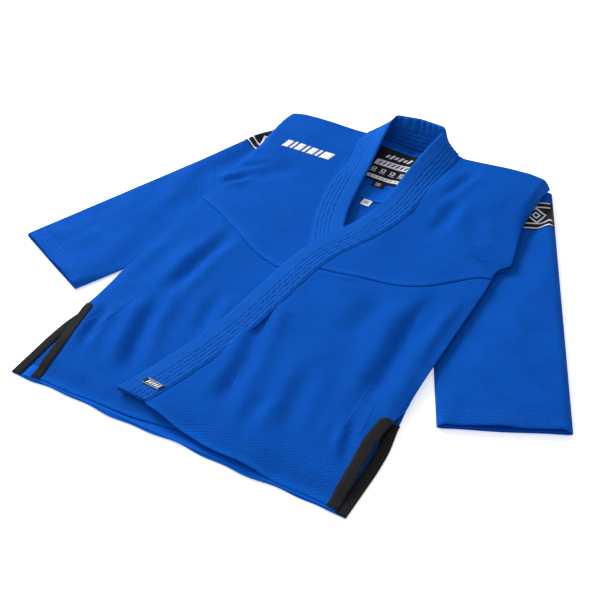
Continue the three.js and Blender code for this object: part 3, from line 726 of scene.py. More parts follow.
# ---- The jacket's layout -------------------------------------------------------------------------
@dataclass(frozen=True)
class Layout:
    """Outlines of the laid jacket, and the height of each of its layers."""

    half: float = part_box("back_panel")[1].x - 9 * MM
    length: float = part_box("left_yoke_side")[1].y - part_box("back_panel")[0].y + 1 * MM
    vent: float = 172 * MM
    fabric: float = 2 * MM
    lining: float = 1.2 * MM
    gap: float = 0.9 * MM
    lapel_width: float = 56 * MM
    lapel_thickness: float = 7.2 * MM
    lapel_end: float = 32 * MM
    lap: float = 8 * MM
    neck_half: float = 97 * MM
    neck_top_half: float = 48 * MM
    band_rise: float = 68 * MM
    band_lean: float = 27 * MM
    crown: float = 18 * MM
    shoulder_rise: float = 21 * MM
    sleeve_length: float = 574 * MM
    sleeve_flat: float = 6.2 * MM
    sleeve_cloth: float = 1.8 * MM
    cuff_width: float = 190 * MM
    sleeve_head: float = 226 * MM
    sleeve_drop: float = math.radians(66.2)
    armpit_drop: float = 240 * MM
    corner_drop: float = 9 * MM
    hem_droop: float = 9 * MM
    droop_reach: float = 40 * MM
    fold_share: float = 0.79
    folds: dict = field(default_factory=dict)

    # -- Outlines
    @property
    def armpit(self) -> float:
        """The y of the armpit."""
        return self.length - self.armpit_drop

    @property
    def fold_top(self) -> float:
        """The y at which the line that a front opens about ends."""
        return self.length * self.fold_share

    @property
    def edge(self) -> Course:
        """The body's side edge, from the hem to the shoulder."""
        top, half, armpit = self.length, self.half, self.armpit
        return Course([(half + 9 * MM, 0), (half + 10 * MM, self.vent * 0.5),
                       (half + 8 * MM, self.vent - 46 * MM),
                       (half + 3 * MM, self.vent - 19 * MM), (half - 1 * MM, self.vent),
                       (half, self.vent + 40 * MM),
                       (half - 1 * MM, armpit - 70 * MM), (half - 5 * MM, armpit - 28 * MM),
                       (half - 2 * MM, armpit - 14 * MM), (half + 13 * MM, armpit - 2 * MM),
                       (half + 5 * MM, armpit + 34 * MM), (half - 12 * MM, armpit + 110 * MM),
                       (half - 14 * MM, top - 40 * MM), (half - 13 * MM, top)], 7 * MM)

    def chest(self, side: Side) -> Course:
        """The chest seam, where the yoke laps over the skirt."""
        if side is Side.LEFT:
            points = [(-0.4, 0.505), (0.0, 0.513), (0.18, 0.519), (0.35, 0.531), (0.54, 0.544),
                      (0.67, 0.565), (0.78, 0.6), (0.87, 0.634), (1.05, 0.66)]
        else:
            points = [(-0.4, 0.478), (0.0, 0.483), (0.18, 0.489), (0.33, 0.503), (0.45, 0.522),
                      (0.58, 0.55), (0.67, 0.566), (0.75, 0.583), (0.86, 0.6), (1.05, 0.63)]
        return Course([(x * self.half, y * self.length) for x, y in points])

    @property
    def lapel_seam(self) -> Course:
        """The seam that joins a lapel to its front, in plan."""
        places = [(-0.19, 0.04), (-0.12, 0.112), (-0.05, 0.2), (0.004, 0.3), (0.027, 0.4),
                  (0.045, 0.475), (0.07, 0.54), (0.125, 0.592), (0.2, 0.64), (0.262, 0.7),
                  (0.3, 0.765), (0.318, 0.83)]
        points = [(x * self.half, y * self.length) for x, y in places]
        points += [(self.neck_half - 4 * MM, self.length - 72 * MM),
                   (self.neck_half, self.length - 28 * MM), (self.neck_half - 3 * MM, self.length)]
        return Course(points, 14 * MM)

    def hem_line(self, x: Array) -> Array:
        """The height of a front's lower edge over the hem line."""
        xs = np.array([-0.25, -0.1, 0.05, 0.2, 0.45, 1.1]) * self.half
        ys = np.array([self.lapel_end, self.lapel_end - 6 * MM, 17 * MM, 11 * MM, 8 * MM, 5 * MM])
        wave = 0.9 * MM * np.sin(x / (17 * MM)) * smoothstep(x, -20 * MM, 60 * MM)
        return np.interp(x, xs, ys) + wave

    def top_line(self, x: Array) -> Array:
        """The y of the shoulder fold, which rounds off at its outer end."""
        outer = smoothstep(x, self.half - 36 * MM, self.half - 8 * MM) ** 1.5
        return self.length - self.corner_drop * outer

    def fold_x(self, y: Array) -> Array:
        """The x of the line that a front opens about."""
        return lerp(self.half * 0.7, self.half * 0.375, y / self.fold_top)

    # -- Heights
    def inside_sleeve(self, x: Array, y: Array) -> Array:
        """How far a point lies inside a sleeve's inner edge."""
        head = self.sleeve_point(0, self.sleeve_head)
        cuff = self.sleeve_point(self.sleeve_length, self.cuff_width)
        along = unit(cuff - head)
        return -(x - head[0]) * along[1] + (y - head[1]) * along[0]

    def back_top(self, x: Array, y: Array) -> Array:
        """The height of the back's upper face."""
        near = lerp(60 * MM, 130 * MM, smoothstep(y, 0.4 * self.length, 0.75 * self.length))
        inside = self.inside_sleeve(np.abs(x), y)
        share = smoothstep(inside / near, -1.0, -0.084)
        spots = self.neck_half + np.array([-97, -57, -46, -32, -18, -8, 0, 7]) * MM
        lift = np.interp(np.abs(x), spots, np.array([0.5, 6.5, 8, 11, 18, 19, 9, 0]) * MM)
        lift = lift * smoothstep(y, self.length - 48 * MM, self.length - 4 * MM)
        return self.fabric + (self.sleeve_flat + 2.2 * MM) * share + lift

    def smooth_front(self, side: Side, x: Array, y: Array) -> Array:
        """The height of a front's upper face, without its folds."""
        lap = self.lap if side is Side.LEFT else 0
        armpit, fold_top = self.armpit, self.fold_top
        beyond = self.fold_x(np.minimum(y, fold_top)) - x
        low = self.crown - self.lap / 2
        middle = lerp(self.crown, low + lap, smoothstep(beyond, 0, 60 * MM))
        upper = smoothstep(y, armpit - 20 * MM, self.length - 50 * MM)
        outer = smoothstep(x, self.neck_half, self.neck_half + 110 * MM)
        sunk = 5 * MM * smoothstep(y, armpit, fold_top) * smoothstep(x, 60 * MM, 140 * MM)
        crown = middle + self.shoulder_rise * upper * lerp(0.72, 1, outer) - sunk * (1 - upper)
        corner = np.hypot(self.edge.x_at(y) - x, self.length - y)
        crown = crown - 4 * MM * smoothstep(corner, 44 * MM, 12 * MM)
        seam = self.back_top(x, y) + self.fabric + self.gap
        crown = crown - 6 * MM * smoothstep(y, 95 * MM, 5 * MM) * smoothstep(x, 125 * MM, 180 * MM)
        loft = 13 * MM - 3 * MM * smoothstep(y, 95 * MM, 5 * MM)
        edge = lerp(loft, seam, smoothstep(y, self.vent - 40 * MM, self.vent + 40 * MM))
        roll = lerp(26 * MM, 15 * MM, smoothstep(y, self.length - 140 * MM, self.length - 40 * MM))
        roll = roll + 14 * MM * smoothstep(y, 190 * MM, 260 * MM) * smoothstep(y, 560 * MM, 480 * MM)
        from_side = np.clip((self.edge.x_at(y) - x) / roll, 0, 1)
        from_top = np.clip((self.top_line(x) - y) / (14 * MM), 0, 1)
        rounded = np.sqrt(1 - (1 - from_side) ** 2) * np.sqrt(1 - (1 - from_top) ** 2)
        return lerp(edge, crown, rounded)

    def front_top(self, side: Side, x: Array, y: Array) -> Array:
        """The height of a front's upper face, with its folds and unevenness."""
        x, y = np.asarray(x, float), np.asarray(y, float)
        z = self.smooth_front(side, x, y)
        held = smoothstep(self.edge.x_at(y) - x, 0, 22 * MM)
        held = held * smoothstep(self.length - y, 4 * MM, 40 * MM)
        lapel = smoothstep(x - self.lapel_seam.x_at(y), 2 * MM, 30 * MM)
        uneven = Ripple(3 + side.value, 55 * MM, 190 * MM).at(x, y) * 0.8 * MM
        small = Ripple(13 + side.value, 22 * MM, 60 * MM).at(x, y) * 0.16 * MM
        z = z + (uneven * lapel + small) * held
        for fold in self.folds.get(side, ()):
            z = z + fold.height(x, y) * held
        low = smoothstep(y - self.hem_line(x), self.droop_reach, 0)
        z = z - self.hem_droop * low * smoothstep(x, -40 * MM, 30 * MM)
        floor = self.back_top(x, y) + self.fabric + 1.2 * MM
        return (z + floor + np.sqrt((z - floor) ** 2 + (1.5 * MM) ** 2)) / 2

    # -- Sleeves
    @property
    def shoulder_tip(self) -> Array:
        """The plan point where a sleeve's outer fold starts."""
        return np.array([self.half - 11 * MM, self.length - 4 * MM])

    def sleeve_point(self, down: Array, inward: Array) -> Array:
        """The plan point at a distance down a sleeve and in from its outer fold."""
        along = np.array([math.cos(self.sleeve_drop), -math.sin(self.sleeve_drop)])
        across = np.array([along[1], -along[0]])
        down, inward = np.asarray(down, float), np.asarray(inward, float)
        return self.shoulder_tip + down[..., None] * along + inward[..., None] * across

    def sleeve_width(self, down: Array) -> Array:
        """The width of the laid sleeve at a distance down it."""
        return lerp(self.sleeve_head, self.cuff_width, down / self.sleeve_length)

    def sleeve_top(self, point: Array, down: Array) -> Array:
        """The height of a sleeve's upper layer at a plan point."""
        x, y = point[..., 0], np.clip(point[..., 1], 0, self.length)
        clear = x - self.edge.x_at(y)
        opened = 8 * MM * smoothstep(clear, 14 * MM, 60 * MM) * smoothstep(down, -20 * MM, 90 * MM)
        head = 18 * MM * smoothstep(clear, 14 * MM, 34 * MM) * bell(down, 110 * MM)
        return self.sleeve_flat + opened + head


# The folds of each front, in its own side's plan.
FRONT_FOLDS = folds_of({
    Side.LEFT: (
        (((-0.016, 0.315), (0.007, 0.246), (0.027, 0.182), (0.038, 0.123), (0.04, 0.06)),
         13, 6.4, 0.22, 0.8),
        (((0.1, 0.15), (0.091, 0.09), (0.108, 0.02)), 11, 3.6, 0.4, 0.8),
        (((0.006, 0.292), (0.034, 0.284), (0.068, 0.276)), 5, 3.4, 0.5, 0.9),
        (((0.016, 0.268), (0.04, 0.262), (0.062, 0.252)), 5, 2.2, 0.5, 0.9),
        (((0.118, 0.24), (0.132, 0.157), (0.146, 0.1), (0.16, 0.05)), 14, 4.6, 0.4, 0.8),
        (((0.222, 0.48), (0.221, 0.42), (0.217, 0.36), (0.22, 0.3), (0.224, 0.24), (0.229, 0.14)),
         17, 10.5, 0.3, 0.4),
        (((0.222, 0.17), (0.232, 0.13), (0.247, 0.09), (0.264, 0.05)), 9, 4.6, 0.4, 0.7),
        (((0.205, 0.15), (0.212, 0.115), (0.226, 0.08)), 7, 3.0, 0.5, 0.7),
        (((0.258, 0.46), (0.254, 0.36), (0.26, 0.27)), 9, -2.6, 0.3, 0.2),
        (((0.15, 0.42), (0.138, 0.33), (0.142, 0.27)), 18, 4.2, 0.4, 0.6),
        (((0.148, 0.7), (0.147, 0.63), (0.139, 0.565)), 12, 5.4, 0.4, 0.6),
        (((0.142, 0.78), (0.137, 0.74), (0.114, 0.655)), 10, 5.0, 0.4),
        (((0.19, 0.655), (0.2, 0.62), (0.235, 0.585)), 13, 3.4, 0.4, 0.6),
        (((0.02, 0.395), (0.075, 0.4), (0.13, 0.412)), 7, 2.0, 0.5, 0.6),
        (((0.2, 0.585), (0.235, 0.57), (0.285, 0.545)), 8, 5.0, 0.45, 0.7),
    ),
    Side.RIGHT: (
        (((0.168, 0.46), (0.176, 0.35), (0.176, 0.285), (0.184, 0.22)), 13, 8.0, 0.35, 0.5),
        (((0.186, 0.25), (0.166, 0.175), (0.147, 0.12), (0.118, 0.06)), 14, 10.5, 0.3, 0.5),
        (((0.1, 0.31), (0.09, 0.24), (0.068, 0.17)), 12, 5.0, 0.4, 0.6),
        (((0.25, 0.2), (0.231, 0.11), (0.208, 0.055)), 9, 6.0, 0.4, 0.6),
        (((0.225, 0.6), (0.25, 0.575), (0.285, 0.54)), 8, 5.0, 0.4, 0.7),
        (((0.21, 0.64), (0.24, 0.625), (0.275, 0.6)), 7, 3.0, 0.4, 0.6),
        (((0.15, 0.66), (0.2, 0.62), (0.24, 0.575)), 15, 3.2, 0.4),
        (((0.235, 0.4), (0.24, 0.3), (0.245, 0.22)), 15, 3.4, 0.4),
    ),
})


@dataclass(frozen=True)
class Hinge:
    """Where the cloth turns as a front opens."""

    side: Side
    outside: float = 4 * MM
    inside: float = 16 * MM

    @property
    def body(self) -> str:
        """The moving body's name."""
        return f"{self.side.word}_front"

    def turn(self, piece: bpy.types.Object) -> bpy.types.Object:
        """Looks up the front's joint and its fold axis, and bakes the piece's transform into its mesh;
        the piece is not bent.
        """
        joint = next(j for j in frame["joints"] if j["child"] == self.body)
        along = Vector(joint["axis"]) * (1 if joint["axis"][1] > 0 else -1)
        inward = Vector((-along.y, along.x, 0)).normalized()
        if inward.x * self.side.value > 0:
            inward = -inward
        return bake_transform(piece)

    def twist(self, piece: bpy.types.Object, layout: Layout) -> bpy.types.Object:
        """Bakes a lapel piece's transform into its mesh; the piece is not bent."""
        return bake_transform(piece)


# ---- Fronts --------------------------------------------------------------------------------------
@dataclass
class Front:
    """One front: a skirt and a yoke that laps over it at the chest seam, its facing and rows."""

    layout: Layout
    side: Side
    tuck: float = 8 * MM
    lap_under: float = 9 * MM
    columns: int = 74
    skirt_rows: int = 104
    yoke_rows: int = 96

    def _inner(self, y: Array) -> Array:
        """The x of the front's edge inside the lapel."""
        lay = self.layout
        seam = lay.lapel_seam
        along = seam.distance_at_y(y)
        ahead = unit(seam.at(along + 3 * MM) - seam.at(along - 3 * MM))
        tucked = self.tuck * smoothstep(lay.length - y, 60 * MM, 160 * MM)
        return seam.x_at(y) - ahead[..., 1] * tucked

    def _outer(self, y: Array) -> Array:
        """The x of the front's outer edge, which lies further in below the vent."""
        lay = self.layout
        insets = {Side.LEFT: (15, 16.5, 18.5, 19, 15, 7, 0), Side.RIGHT: (37, 36.5, 32, 25, 15, 3, 0)}
        levels = np.array([0, 0.28, 0.5, 0.68, 0.84, 1.0, 1.2]) * lay.vent
        return lay.edge.x_at(y) - np.interp(y, levels, insets[self.side]) * MM

    def _plan(self, low: Course | None, high: Course | None, rows: int,
              shift: tuple) -> tuple[Array, Array]:
        """Lays out a grid between two lines across the front.

        Args:
            low: The lower line, or None for the hem.
            high: The upper line, or None for the shoulder fold.
            rows: Number of rows of the grid.
            shift: How far the lower and the upper edge are moved up.

        Returns:
            The grid's x and y.
        """
        lay = self.layout
        u = 1 - (1 - np.linspace(0, 1, self.columns)) ** 1.5
        v = np.linspace(0, 1, rows)
        if high is None:
            v = 1 - (1 - v) ** 1.35
        y = np.tile(lerp(0.1, lay.length, v)[None], (self.columns, 1))
        for _ in range(14):
            inner, outer = self._inner(y), self._outer(y)
            x = lerp(inner, outer, u[:, None])
            under = smoothstep(lay.lapel_seam.x_at(y) - x, -1 * MM, 4 * MM)
            foot = lay.hem_line(x) + 7 * MM * under if low is None else low.y_at(x) + shift[0]
            head = lay.top_line(x) - 1 * MM if high is None else high.y_at(x) + shift[1]
            y = lerp(foot, head, v[None])
        return x, y

    def _undercut(self, x: Array, y: Array) -> Array:
        """Draws the side edge in beneath its own roll, above the vent."""
        lay = self.layout
        apart = np.clip((lay.edge.x_at(y) - x) / (7 * MM), 0, 1)
        above = smoothstep(y, lay.vent, lay.vent + 60 * MM) * smoothstep(lay.length - y, 0, 40 * MM)
        return x - 4.0 * MM * (1 - apart) ** 2 * above

    def _skin(self, x: Array, y: Array, z: Array) -> Skin:
        """The closed cloth over a grid of plan points and heights."""
        grid = np.stack([self._undercut(x, y), y, z], -1)
        return closed_sheet(grid, self.layout.fabric).on(self.side)

    @staticmethod
    def _seam_pucker(x: Array, apart: Array) -> Array:
        """Small gathers beside a sewn line at a distance."""
        wave = np.sin(x / (2.6 * MM) + 3 * np.sin(x / (19 * MM)))
        return 0.22 * MM * wave * bell(apart, 7 * MM)

    def build(self) -> None:
        """Makes the skirt, the yoke, the stitching and the hem facing."""
        lay, word, chest = self.layout, self.side.word, self.layout.chest(self.side)
        hinge = Hinge(self.side)
        x, y = self._plan(None, chest, self.skirt_rows, (0, self.lap_under))
        below = chest.y_at(x) - y
        z = lay.front_top(self.side, x, y) + self._seam_pucker(x, below)
        z -= 2.6 * MM * smoothstep(below, 5 * MM, -3 * MM)
        z -= 1.1 * MM * bell(below - 2 * MM, 5 * MM)
        hem = y - lay.hem_line(x)
        z += self._seam_pucker(x, hem - 24 * MM) + 0.5 * MM * smoothstep(hem, 27 * MM, 23 * MM)
        skirt = Maker.make(f"{word}_skirt", self._skin(x, y, z), PEARL)
        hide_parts(f"{word}_skirt_flap", f"{word}_skirt_side")
        hinge.turn(skirt)

        x, y = self._plan(chest, None, self.yoke_rows, (0, 0))
        above = y - chest.y_at(x)
        z = lay.front_top(self.side, x, y) + self._seam_pucker(x, above - 3 * MM)
        z += 0.9 * MM * smoothstep(above, 16 * MM, 6 * MM)
        z -= 0.7 * MM * bell(above - 4.2 * MM, 1.6 * MM)
        z -= 1.1 * MM * smoothstep(above, 2.4 * MM, 0)
        yoke = Maker.make(f"{word}_yoke", self._skin(x, y, z), PEARL)
        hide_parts(f"{word}_yoke_flap", f"{word}_yoke_side")
        hinge.turn(yoke)
        self._stitch(hinge, chest)
        self._facing(hinge)

    def _row(self, x: Array, y: Array, lift: float) -> tuple[Array, Array]:
        """A row of stitches on the front's upper face."""
        z = self.layout.front_top(self.side, x, y) + lift
        return flat_row(np.stack([x * self.side.value, y, z], -1))

    def _stitch(self, hinge: Hinge, chest: Course) -> None:
        """Sews the chest seam's two rows and the hem's two rows."""
        lay = self.layout
        rows = []
        for above, lift in ((4.2 * MM, 0.35 * MM), (11 * MM, 0.5 * MM)):
            y0 = chest.y_at(0.0) + above
            x = np.linspace(self._inner(y0) + self.tuck + 3 * MM, lay.half - 16 * MM, 240)
            rows.append(self._row(x, chest.y_at(x) + above, lift))
        for rise in (20 * MM, 25 * MM):
            start = float(self._inner(np.array(40 * MM))) + self.tuck + 4 * MM
            x = np.linspace(start, float(self._outer(np.array(rise))) - 18 * MM, 240)
            rows.append(self._row(x, lay.hem_line(x) + rise, 0.3 * MM))
        piece = Maker.make(f"{self.side.word}_front_stitching", Seam().stitches(rows), SHADED_BLUE_THREAD,
                           "weave")
        hinge.turn(piece)

    def _facing(self, hinge: Hinge) -> None:
        """Makes the hem's turned-up facing on the front's inner side."""
        lay, word = self.layout, self.side.word
        start = float(self._inner(np.array(40 * MM))) + 24 * MM
        end = float(self._outer(np.array(12 * MM))) - 4 * MM
        x = np.tile(np.linspace(start, end, 70)[:, None], (1, 9))
        y = lay.hem_line(x) + np.linspace(1.5 * MM, 26 * MM, 9)[None]
        z = lay.front_top(self.side, x, y) - lay.fabric - 0.7 * MM
        skin = closed_sheet(np.stack([x, y, z], -1), lay.lining * 0.8)
        piece = Maker.make(f"{word}_hem_facing", skin.on(self.side), LINING)
        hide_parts(f"{word}_hem_facing_flap", f"{word}_hem_facing_side")
        hinge.turn(piece)


# ---- Lapel and collar ----------------------------------------------------------------------------
@dataclass
class Band:
    """The quilted band that runs from one front's hem round the neck to the other's."""

    layout: Layout
    station: float = 2.6 * MM
    rows_at: tuple = (2.6 * MM, 9.6 * MM, 16.6 * MM, 23.6 * MM, 30.6 * MM)
    channel: float = 1.15 * MM
    channel_width: float = 1.15 * MM
    nose: float = 5 * MM
    slant: float = 18 * MM

    def __post_init__(self) -> None:
        """Lays out the band's seam and free edge as two matched lines."""
        left, right = self._flat(Side.LEFT), self._flat(Side.RIGHT)
        neck = self._neck(left[-1], right[-1])
        keys = np.concatenate([left, neck, (right * MIRROR)[::-1]])
        run = travelled(keys.mean(1))
        count = int(run[-1] / self.station)
        at = np.linspace(0, run[-1], count + 1)
        dense = sampled(at, run, keys.reshape(len(keys), 6))
        coarse, fine = (soften(dense, reach / self.station) for reach in (14 * MM, 5 * MM))
        behind = smoothstep(dense[:, 1], self.layout.length - 70 * MM, self.layout.length - 25 * MM)
        dense = lerp(coarse, fine, behind[:, None])
        self.seam, self.free = dense[:, :3], dense[:, 3:]
        self.run = at
        self.middle = self._back_centre()

    def _back_centre(self) -> int:
        """The index of the station at the middle of the back of the neck."""
        behind = np.where(self.seam[:, 1] > self.layout.length - 20 * MM)[0]
        return int(behind[np.abs(self.seam[behind, 0]).argmin()])

    def _flat(self, side: Side) -> Array:
        """The stations along one front, as pairs of seam and free points."""
        lay = self.layout
        seam = lay.lapel_seam
        start = float(seam.distance_at_y(lay.lapel_end + 2 * MM))
        stop = float(seam.distance_at_y(lay.fold_top))
        at = np.arange(start, stop, 12 * MM)
        plan = seam.at(at)
        ahead = unit(seam.at(at + 4 * MM) - seam.at(at - 4 * MM))
        ahead[0] = ahead[1]
        free = plan + np.stack([-ahead[:, 1], ahead[:, 0]], 1) * lay.lapel_width
        free -= ahead * (self.slant * bell(at - start, 55 * MM))[:, None]
        pairs = []
        for p in (plan, free):
            x = np.minimum(p[:, 0], lay.fold_x(p[:, 1]))
            z = lay.smooth_front(side, x, p[:, 1]) - lay.fabric / 2
            pairs.append(np.column_stack([p, z]))
        return np.stack(pairs, 1)

    def _neck(self, left: Array, right: Array) -> Array:
        """The stations from one lapel's top round the back of the neck to the other's.

        Args:
            left: Seam and free point at the top of the left lapel.
            right: The same on the right, mirrored to the left.

        Returns:
            Pairs of seam and free points.
        """
        lay = self.layout
        top, foot = lay.length, lay.fabric + lay.sleeve_flat + 1.4 * MM
        shoulder = float(lay.smooth_front(Side.LEFT, lay.neck_half, top - 28 * MM))
        neck, upper, rise = lay.neck_half, lay.neck_top_half, lay.band_rise

        def half(ends: Array) -> Array:
            """One side's stations, from its lapel to the back of the neck."""
            s, f = ends
            seam = [(neck - 6 * MM, top - 95 * MM, lerp(s[2], shoulder, 0.45)),
                    (neck, top - 40 * MM, shoulder - 1 * MM),
                    (neck - 3 * MM, top - 6 * MM, shoulder - 1 * MM),
                    (neck - 32 * MM, top + 4 * MM, lerp(shoulder, foot, 0.7))]
            free = [(upper - 12 * MM, top - 105 * MM, lerp(f[2], rise, 0.42)),
                    (upper - 4 * MM, top - 45 * MM, lerp(f[2], rise, 0.75)),
                    (upper + 2 * MM, top + 2 * MM, rise - 4 * MM),
                    (upper + 3 * MM, top + lay.band_lean - 4 * MM, rise - 1 * MM)]
            return np.stack([np.array(seam), np.array(free)], 1)

        centre = np.array([[(0, top + 3 * MM, foot), (0, top + lay.band_lean, rise + 1 * MM)]])
        return np.concatenate([half(left), centre, (half(right) * MIRROR)[::-1]])

    def frames(self, first: int, last: int) -> tuple[Array, Array, Array, Array]:
        """The seam points, across and outward directions and widths of a run of stations."""
        seam, free = self.seam[first:last], self.free[first:last]
        across = unit(free - seam)
        ahead = unit(np.gradient(self.seam, axis=0)[first:last])
        out = unit(np.cross(ahead, across))
        return seam, across, out, np.linalg.norm(free - seam, axis=1)

    def thickness(self, a: Array, run: Array, outer: bool) -> Array:
        """Half of the band's thickness.

        Args:
            a: Distances across from the seam, for the full width.
            run: Distances along the band.
            outer: True for the face that shows.

        Returns:
            The half thickness, with its sewn channels and the small gathers between them.
        """
        half, width = self.layout.lapel_thickness / 2, self.layout.lapel_width
        past = np.clip(a - (width - self.nose), 0, None)
        nose = np.sqrt(np.clip(1 - (past / self.nose) ** 2, 0, 1))
        heel = 0.52 + 0.48 * np.sqrt(np.clip(a / (3.5 * MM), 0, 1))
        behind = bell(run - self.run[self.middle], 75 * MM)
        depth = self.channel * (1.0 if outer else 0.3 + 1.3 * behind)
        body = half * nose * heel
        pucker = np.sin(run / (2.5 * MM) + 1.4 * np.sin(run / (15 * MM)))
        body = body + 1.2 * MM * behind * pucker * nose * smoothstep(a, 30 * MM, 44 * MM)
        for k, row in enumerate(self.rows_at):
            gather = 1 + 0.35 * np.sin(run / (2.9 * MM) + 1.7 * k + 2 * np.sin(run / (31 * MM) + k))
            body = body - depth * gather * bell(a - row, self.channel_width)
        soft = 0.16 * MM * np.sin(run / (5.3 * MM) + a / (2.2 * MM)) * bell(a - 17 * MM, 15 * MM)
        return np.clip(body + soft * nose, 0, None)

    def section(self, rows: int) -> tuple[Array, Array]:
        """The section's distances across, on the outer face and then back on the inner one."""
        width, heel = self.layout.lapel_width, 3.4 * MM
        flat_end = width - self.nose
        rounded = width - self.nose * (1 - np.cos(np.linspace(0, math.pi / 2, 8)))[::-1]
        outer = np.concatenate([np.linspace(0, heel, 6)[:-1],
                                np.linspace(heel, flat_end, rows)[:-1], rounded])
        inner = np.concatenate([np.linspace(0, flat_end, rows // 2)[:-1], rounded])[::-1]
        return outer, inner[1:]

    def half_skin(self, first: int, last: int) -> Skin:
        """The padded band between two stations."""
        seam, across, out, width = self.frames(first, last)
        run = self.run[first:last]
        outer, inner = self.section(46)
        points, cloth = [], []
        for a, face in ((outer, 1), (inner, -1)):
            share = a[None] / self.layout.lapel_width
            half = self.thickness(a[None], run[:, None], face > 0)
            place = seam[:, None] + across[:, None] * (share * width[:, None])[..., None]
            points.append(place + out[:, None] * (face * half)[..., None])
            cloth.append(spread(face * a, run))
        rings = np.concatenate(points, 1)[:, ::-1]
        return tube(rings, np.concatenate(cloth, 1)[:, ::-1])

    def core_skin(self, first: int, last: int) -> Skin:
        """The foam strip inside the band between two stations."""
        seam, across, out, _ = self.frames(first, last)
        a0, a1, half = 11 * MM, self.layout.lapel_width - 7 * MM, 1.5 * MM
        turn = np.linspace(0, 2 * math.pi, 17)[:-1]
        a = (a0 + a1) / 2 + (a1 - a0) / 2 * np.sign(np.cos(turn)) * np.abs(np.cos(turn)) ** 0.5
        o = half * np.sign(np.sin(turn)) * np.abs(np.sin(turn)) ** 0.5
        rings = seam[:, None] + across[:, None] * a[None, :, None] + out[:, None] * o[None, :, None]
        return tube(rings[:, ::-1], spread(a, seam[:, 1])[:, ::-1])

    def row(self, a: float, first: int, last: int, face: int = 1) -> tuple[Array, Array]:
        """A row of stitches along the band at a distance from its seam."""
        seam, across, out, width = self.frames(first, last)
        run = self.run[first:last]
        half = self.thickness(np.full(len(run), a), run, face > 0)
        share = (a / self.layout.lapel_width * width)[:, None]
        return seam + across * share + out * face * (half + 0.1 * MM)[:, None], out * face

    def place(self, a: Array, along: Array, lift: float) -> Array:
        """Points on the left lapel's outer face, at distances across and from its lower end."""
        stations = np.arange(80)
        seam, across, out = (sampled(along / self.station, stations, v)
                             for v in self.frames(0, len(stations))[:3])
        half = self.layout.lapel_thickness / 2
        return seam + across * a[..., None] + out * (half + lift)

    def build(self) -> None:
        """Makes both halves of the band with their foam, their rows and the sewn label."""
        lay = self.layout
        count = len(self.run)
        spans = {Side.LEFT: (0, self.middle + 1), Side.RIGHT: (self.middle, count)}
        for side, (first, last) in spans.items():
            hinge, word = Hinge(side), side.word
            band = Maker.make(f"{word}_lapel", self.half_skin(first, last), DRILL)
            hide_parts(f"{word}_lapel_cover", "neck_band_cover")
            hinge.twist(band, lay)
            core = Maker.make(f"{word}_lapel_foam", self.core_skin(first + 3, last - 3), FOAM, "core")
            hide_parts(f"{word}_lapel_core", "neck_band_core")
            hinge.twist(core, lay)
            rows = [self.row(a, first + 1, last - 1) for a in self.rows_at]
            rows += [self.row(a, first + 1, last - 1, -1) for a in self.rows_at]
            sewn = Seam().stitches(rows)
            thread = Maker.make(f"{word}_lapel_stitching", sewn, SHADED_BLUE_THREAD, "drill")
            hinge.twist(thread, lay)
        self._label()

    def _label(self) -> None:
        """Makes the woven label near the left lapel's lower end."""
        foot, tall, near, wide = 26 * MM, 13 * MM, 39 * MM, 34 * MM

        def at(s: Array, rise: Array, lift: float) -> Array:
            """Points over the label, from shares across it and heights over its foot."""
            return self.place(near - wide * s, foot + rise, lift)

        u, v = shares(14, 8)
        grid = at(u, tall * v, 0.75 * MM)
        label = Maker.make("lapel_label_cloth", closed_sheet(grid[::-1], 0.8 * MM, 0), NAVY)
        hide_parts("lapel_label")
        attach(label, "left_front")
        marks = []
        for k in range(5):
            s = 0.16 + 0.15 * k + np.array([0, 0.08, 0.14, 0.06])
            t = np.array([0.25, 0.25, 0.75, 0.75])
            marks.append(raised(at(s, tall * t, 0.95 * MM), 0.25 * MM))
        for t in (0.08, 0.92):
            s = np.array([0.04, 0.96, 0.96, 0.04])
            rise = tall * t + np.array([-1, -1, 1, 1]) * 0.3 * MM
            marks.append(raised(at(s, rise, 0.95 * MM), 0.2 * MM))
        weft = Maker.make("lapel_label_weft", joined(marks), WHITE_THREAD, "white", smooth=False)
        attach(weft, "left_front")
        self._end_rows()

    def _end_rows(self) -> None:
        """Sews the bar tack and the short rows at the left lapel's lower end."""
        zig = []
        for row in (6 * MM, 12 * MM, 18 * MM):
            a = np.linspace(4 * MM, 40 * MM, 40)
            y = row + 2.2 * MM * np.abs(((a / (3.2 * MM)) % 2) - 1)
            zig.append(flat_row(self.place(a, y, -0.35 * MM)))
        sewn = Seam(2.2 * MM, 0.8 * MM).stitches(zig)
        tack = Maker.make("lapel_end_tack", sewn, SHADED_BLUE_THREAD, "drill")
        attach(tack, "left_front")
        end = [self.row(a, 1, 12) for a in (44 * MM, 51 * MM)]
        edge = Maker.make("lapel_end_stitching", Seam().stitches(end), SHADED_BLUE_THREAD, "drill")
        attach(edge, "left_front")


def raised(corners: Array, thickness: float) -> Skin:
    """A small flat shape of four corners in order, with a thickness below it."""
    up = unit(np.cross(corners[1] - corners[0], corners[-1] - corners[0]))
    if up[2] < 0:
        corners, up = corners[::-1], -up
    low = corners - up * thickness
    n = len(corners)
    points = np.concatenate([corners, low])
    faces = [tuple(range(n)), tuple(range(2 * n - 1, n - 1, -1))]
    faces += [(k + n, (k + 1) % n + n, (k + 1) % n, k) for k in range(n)]
    return Skin(points, faces, points[:, :2].copy())


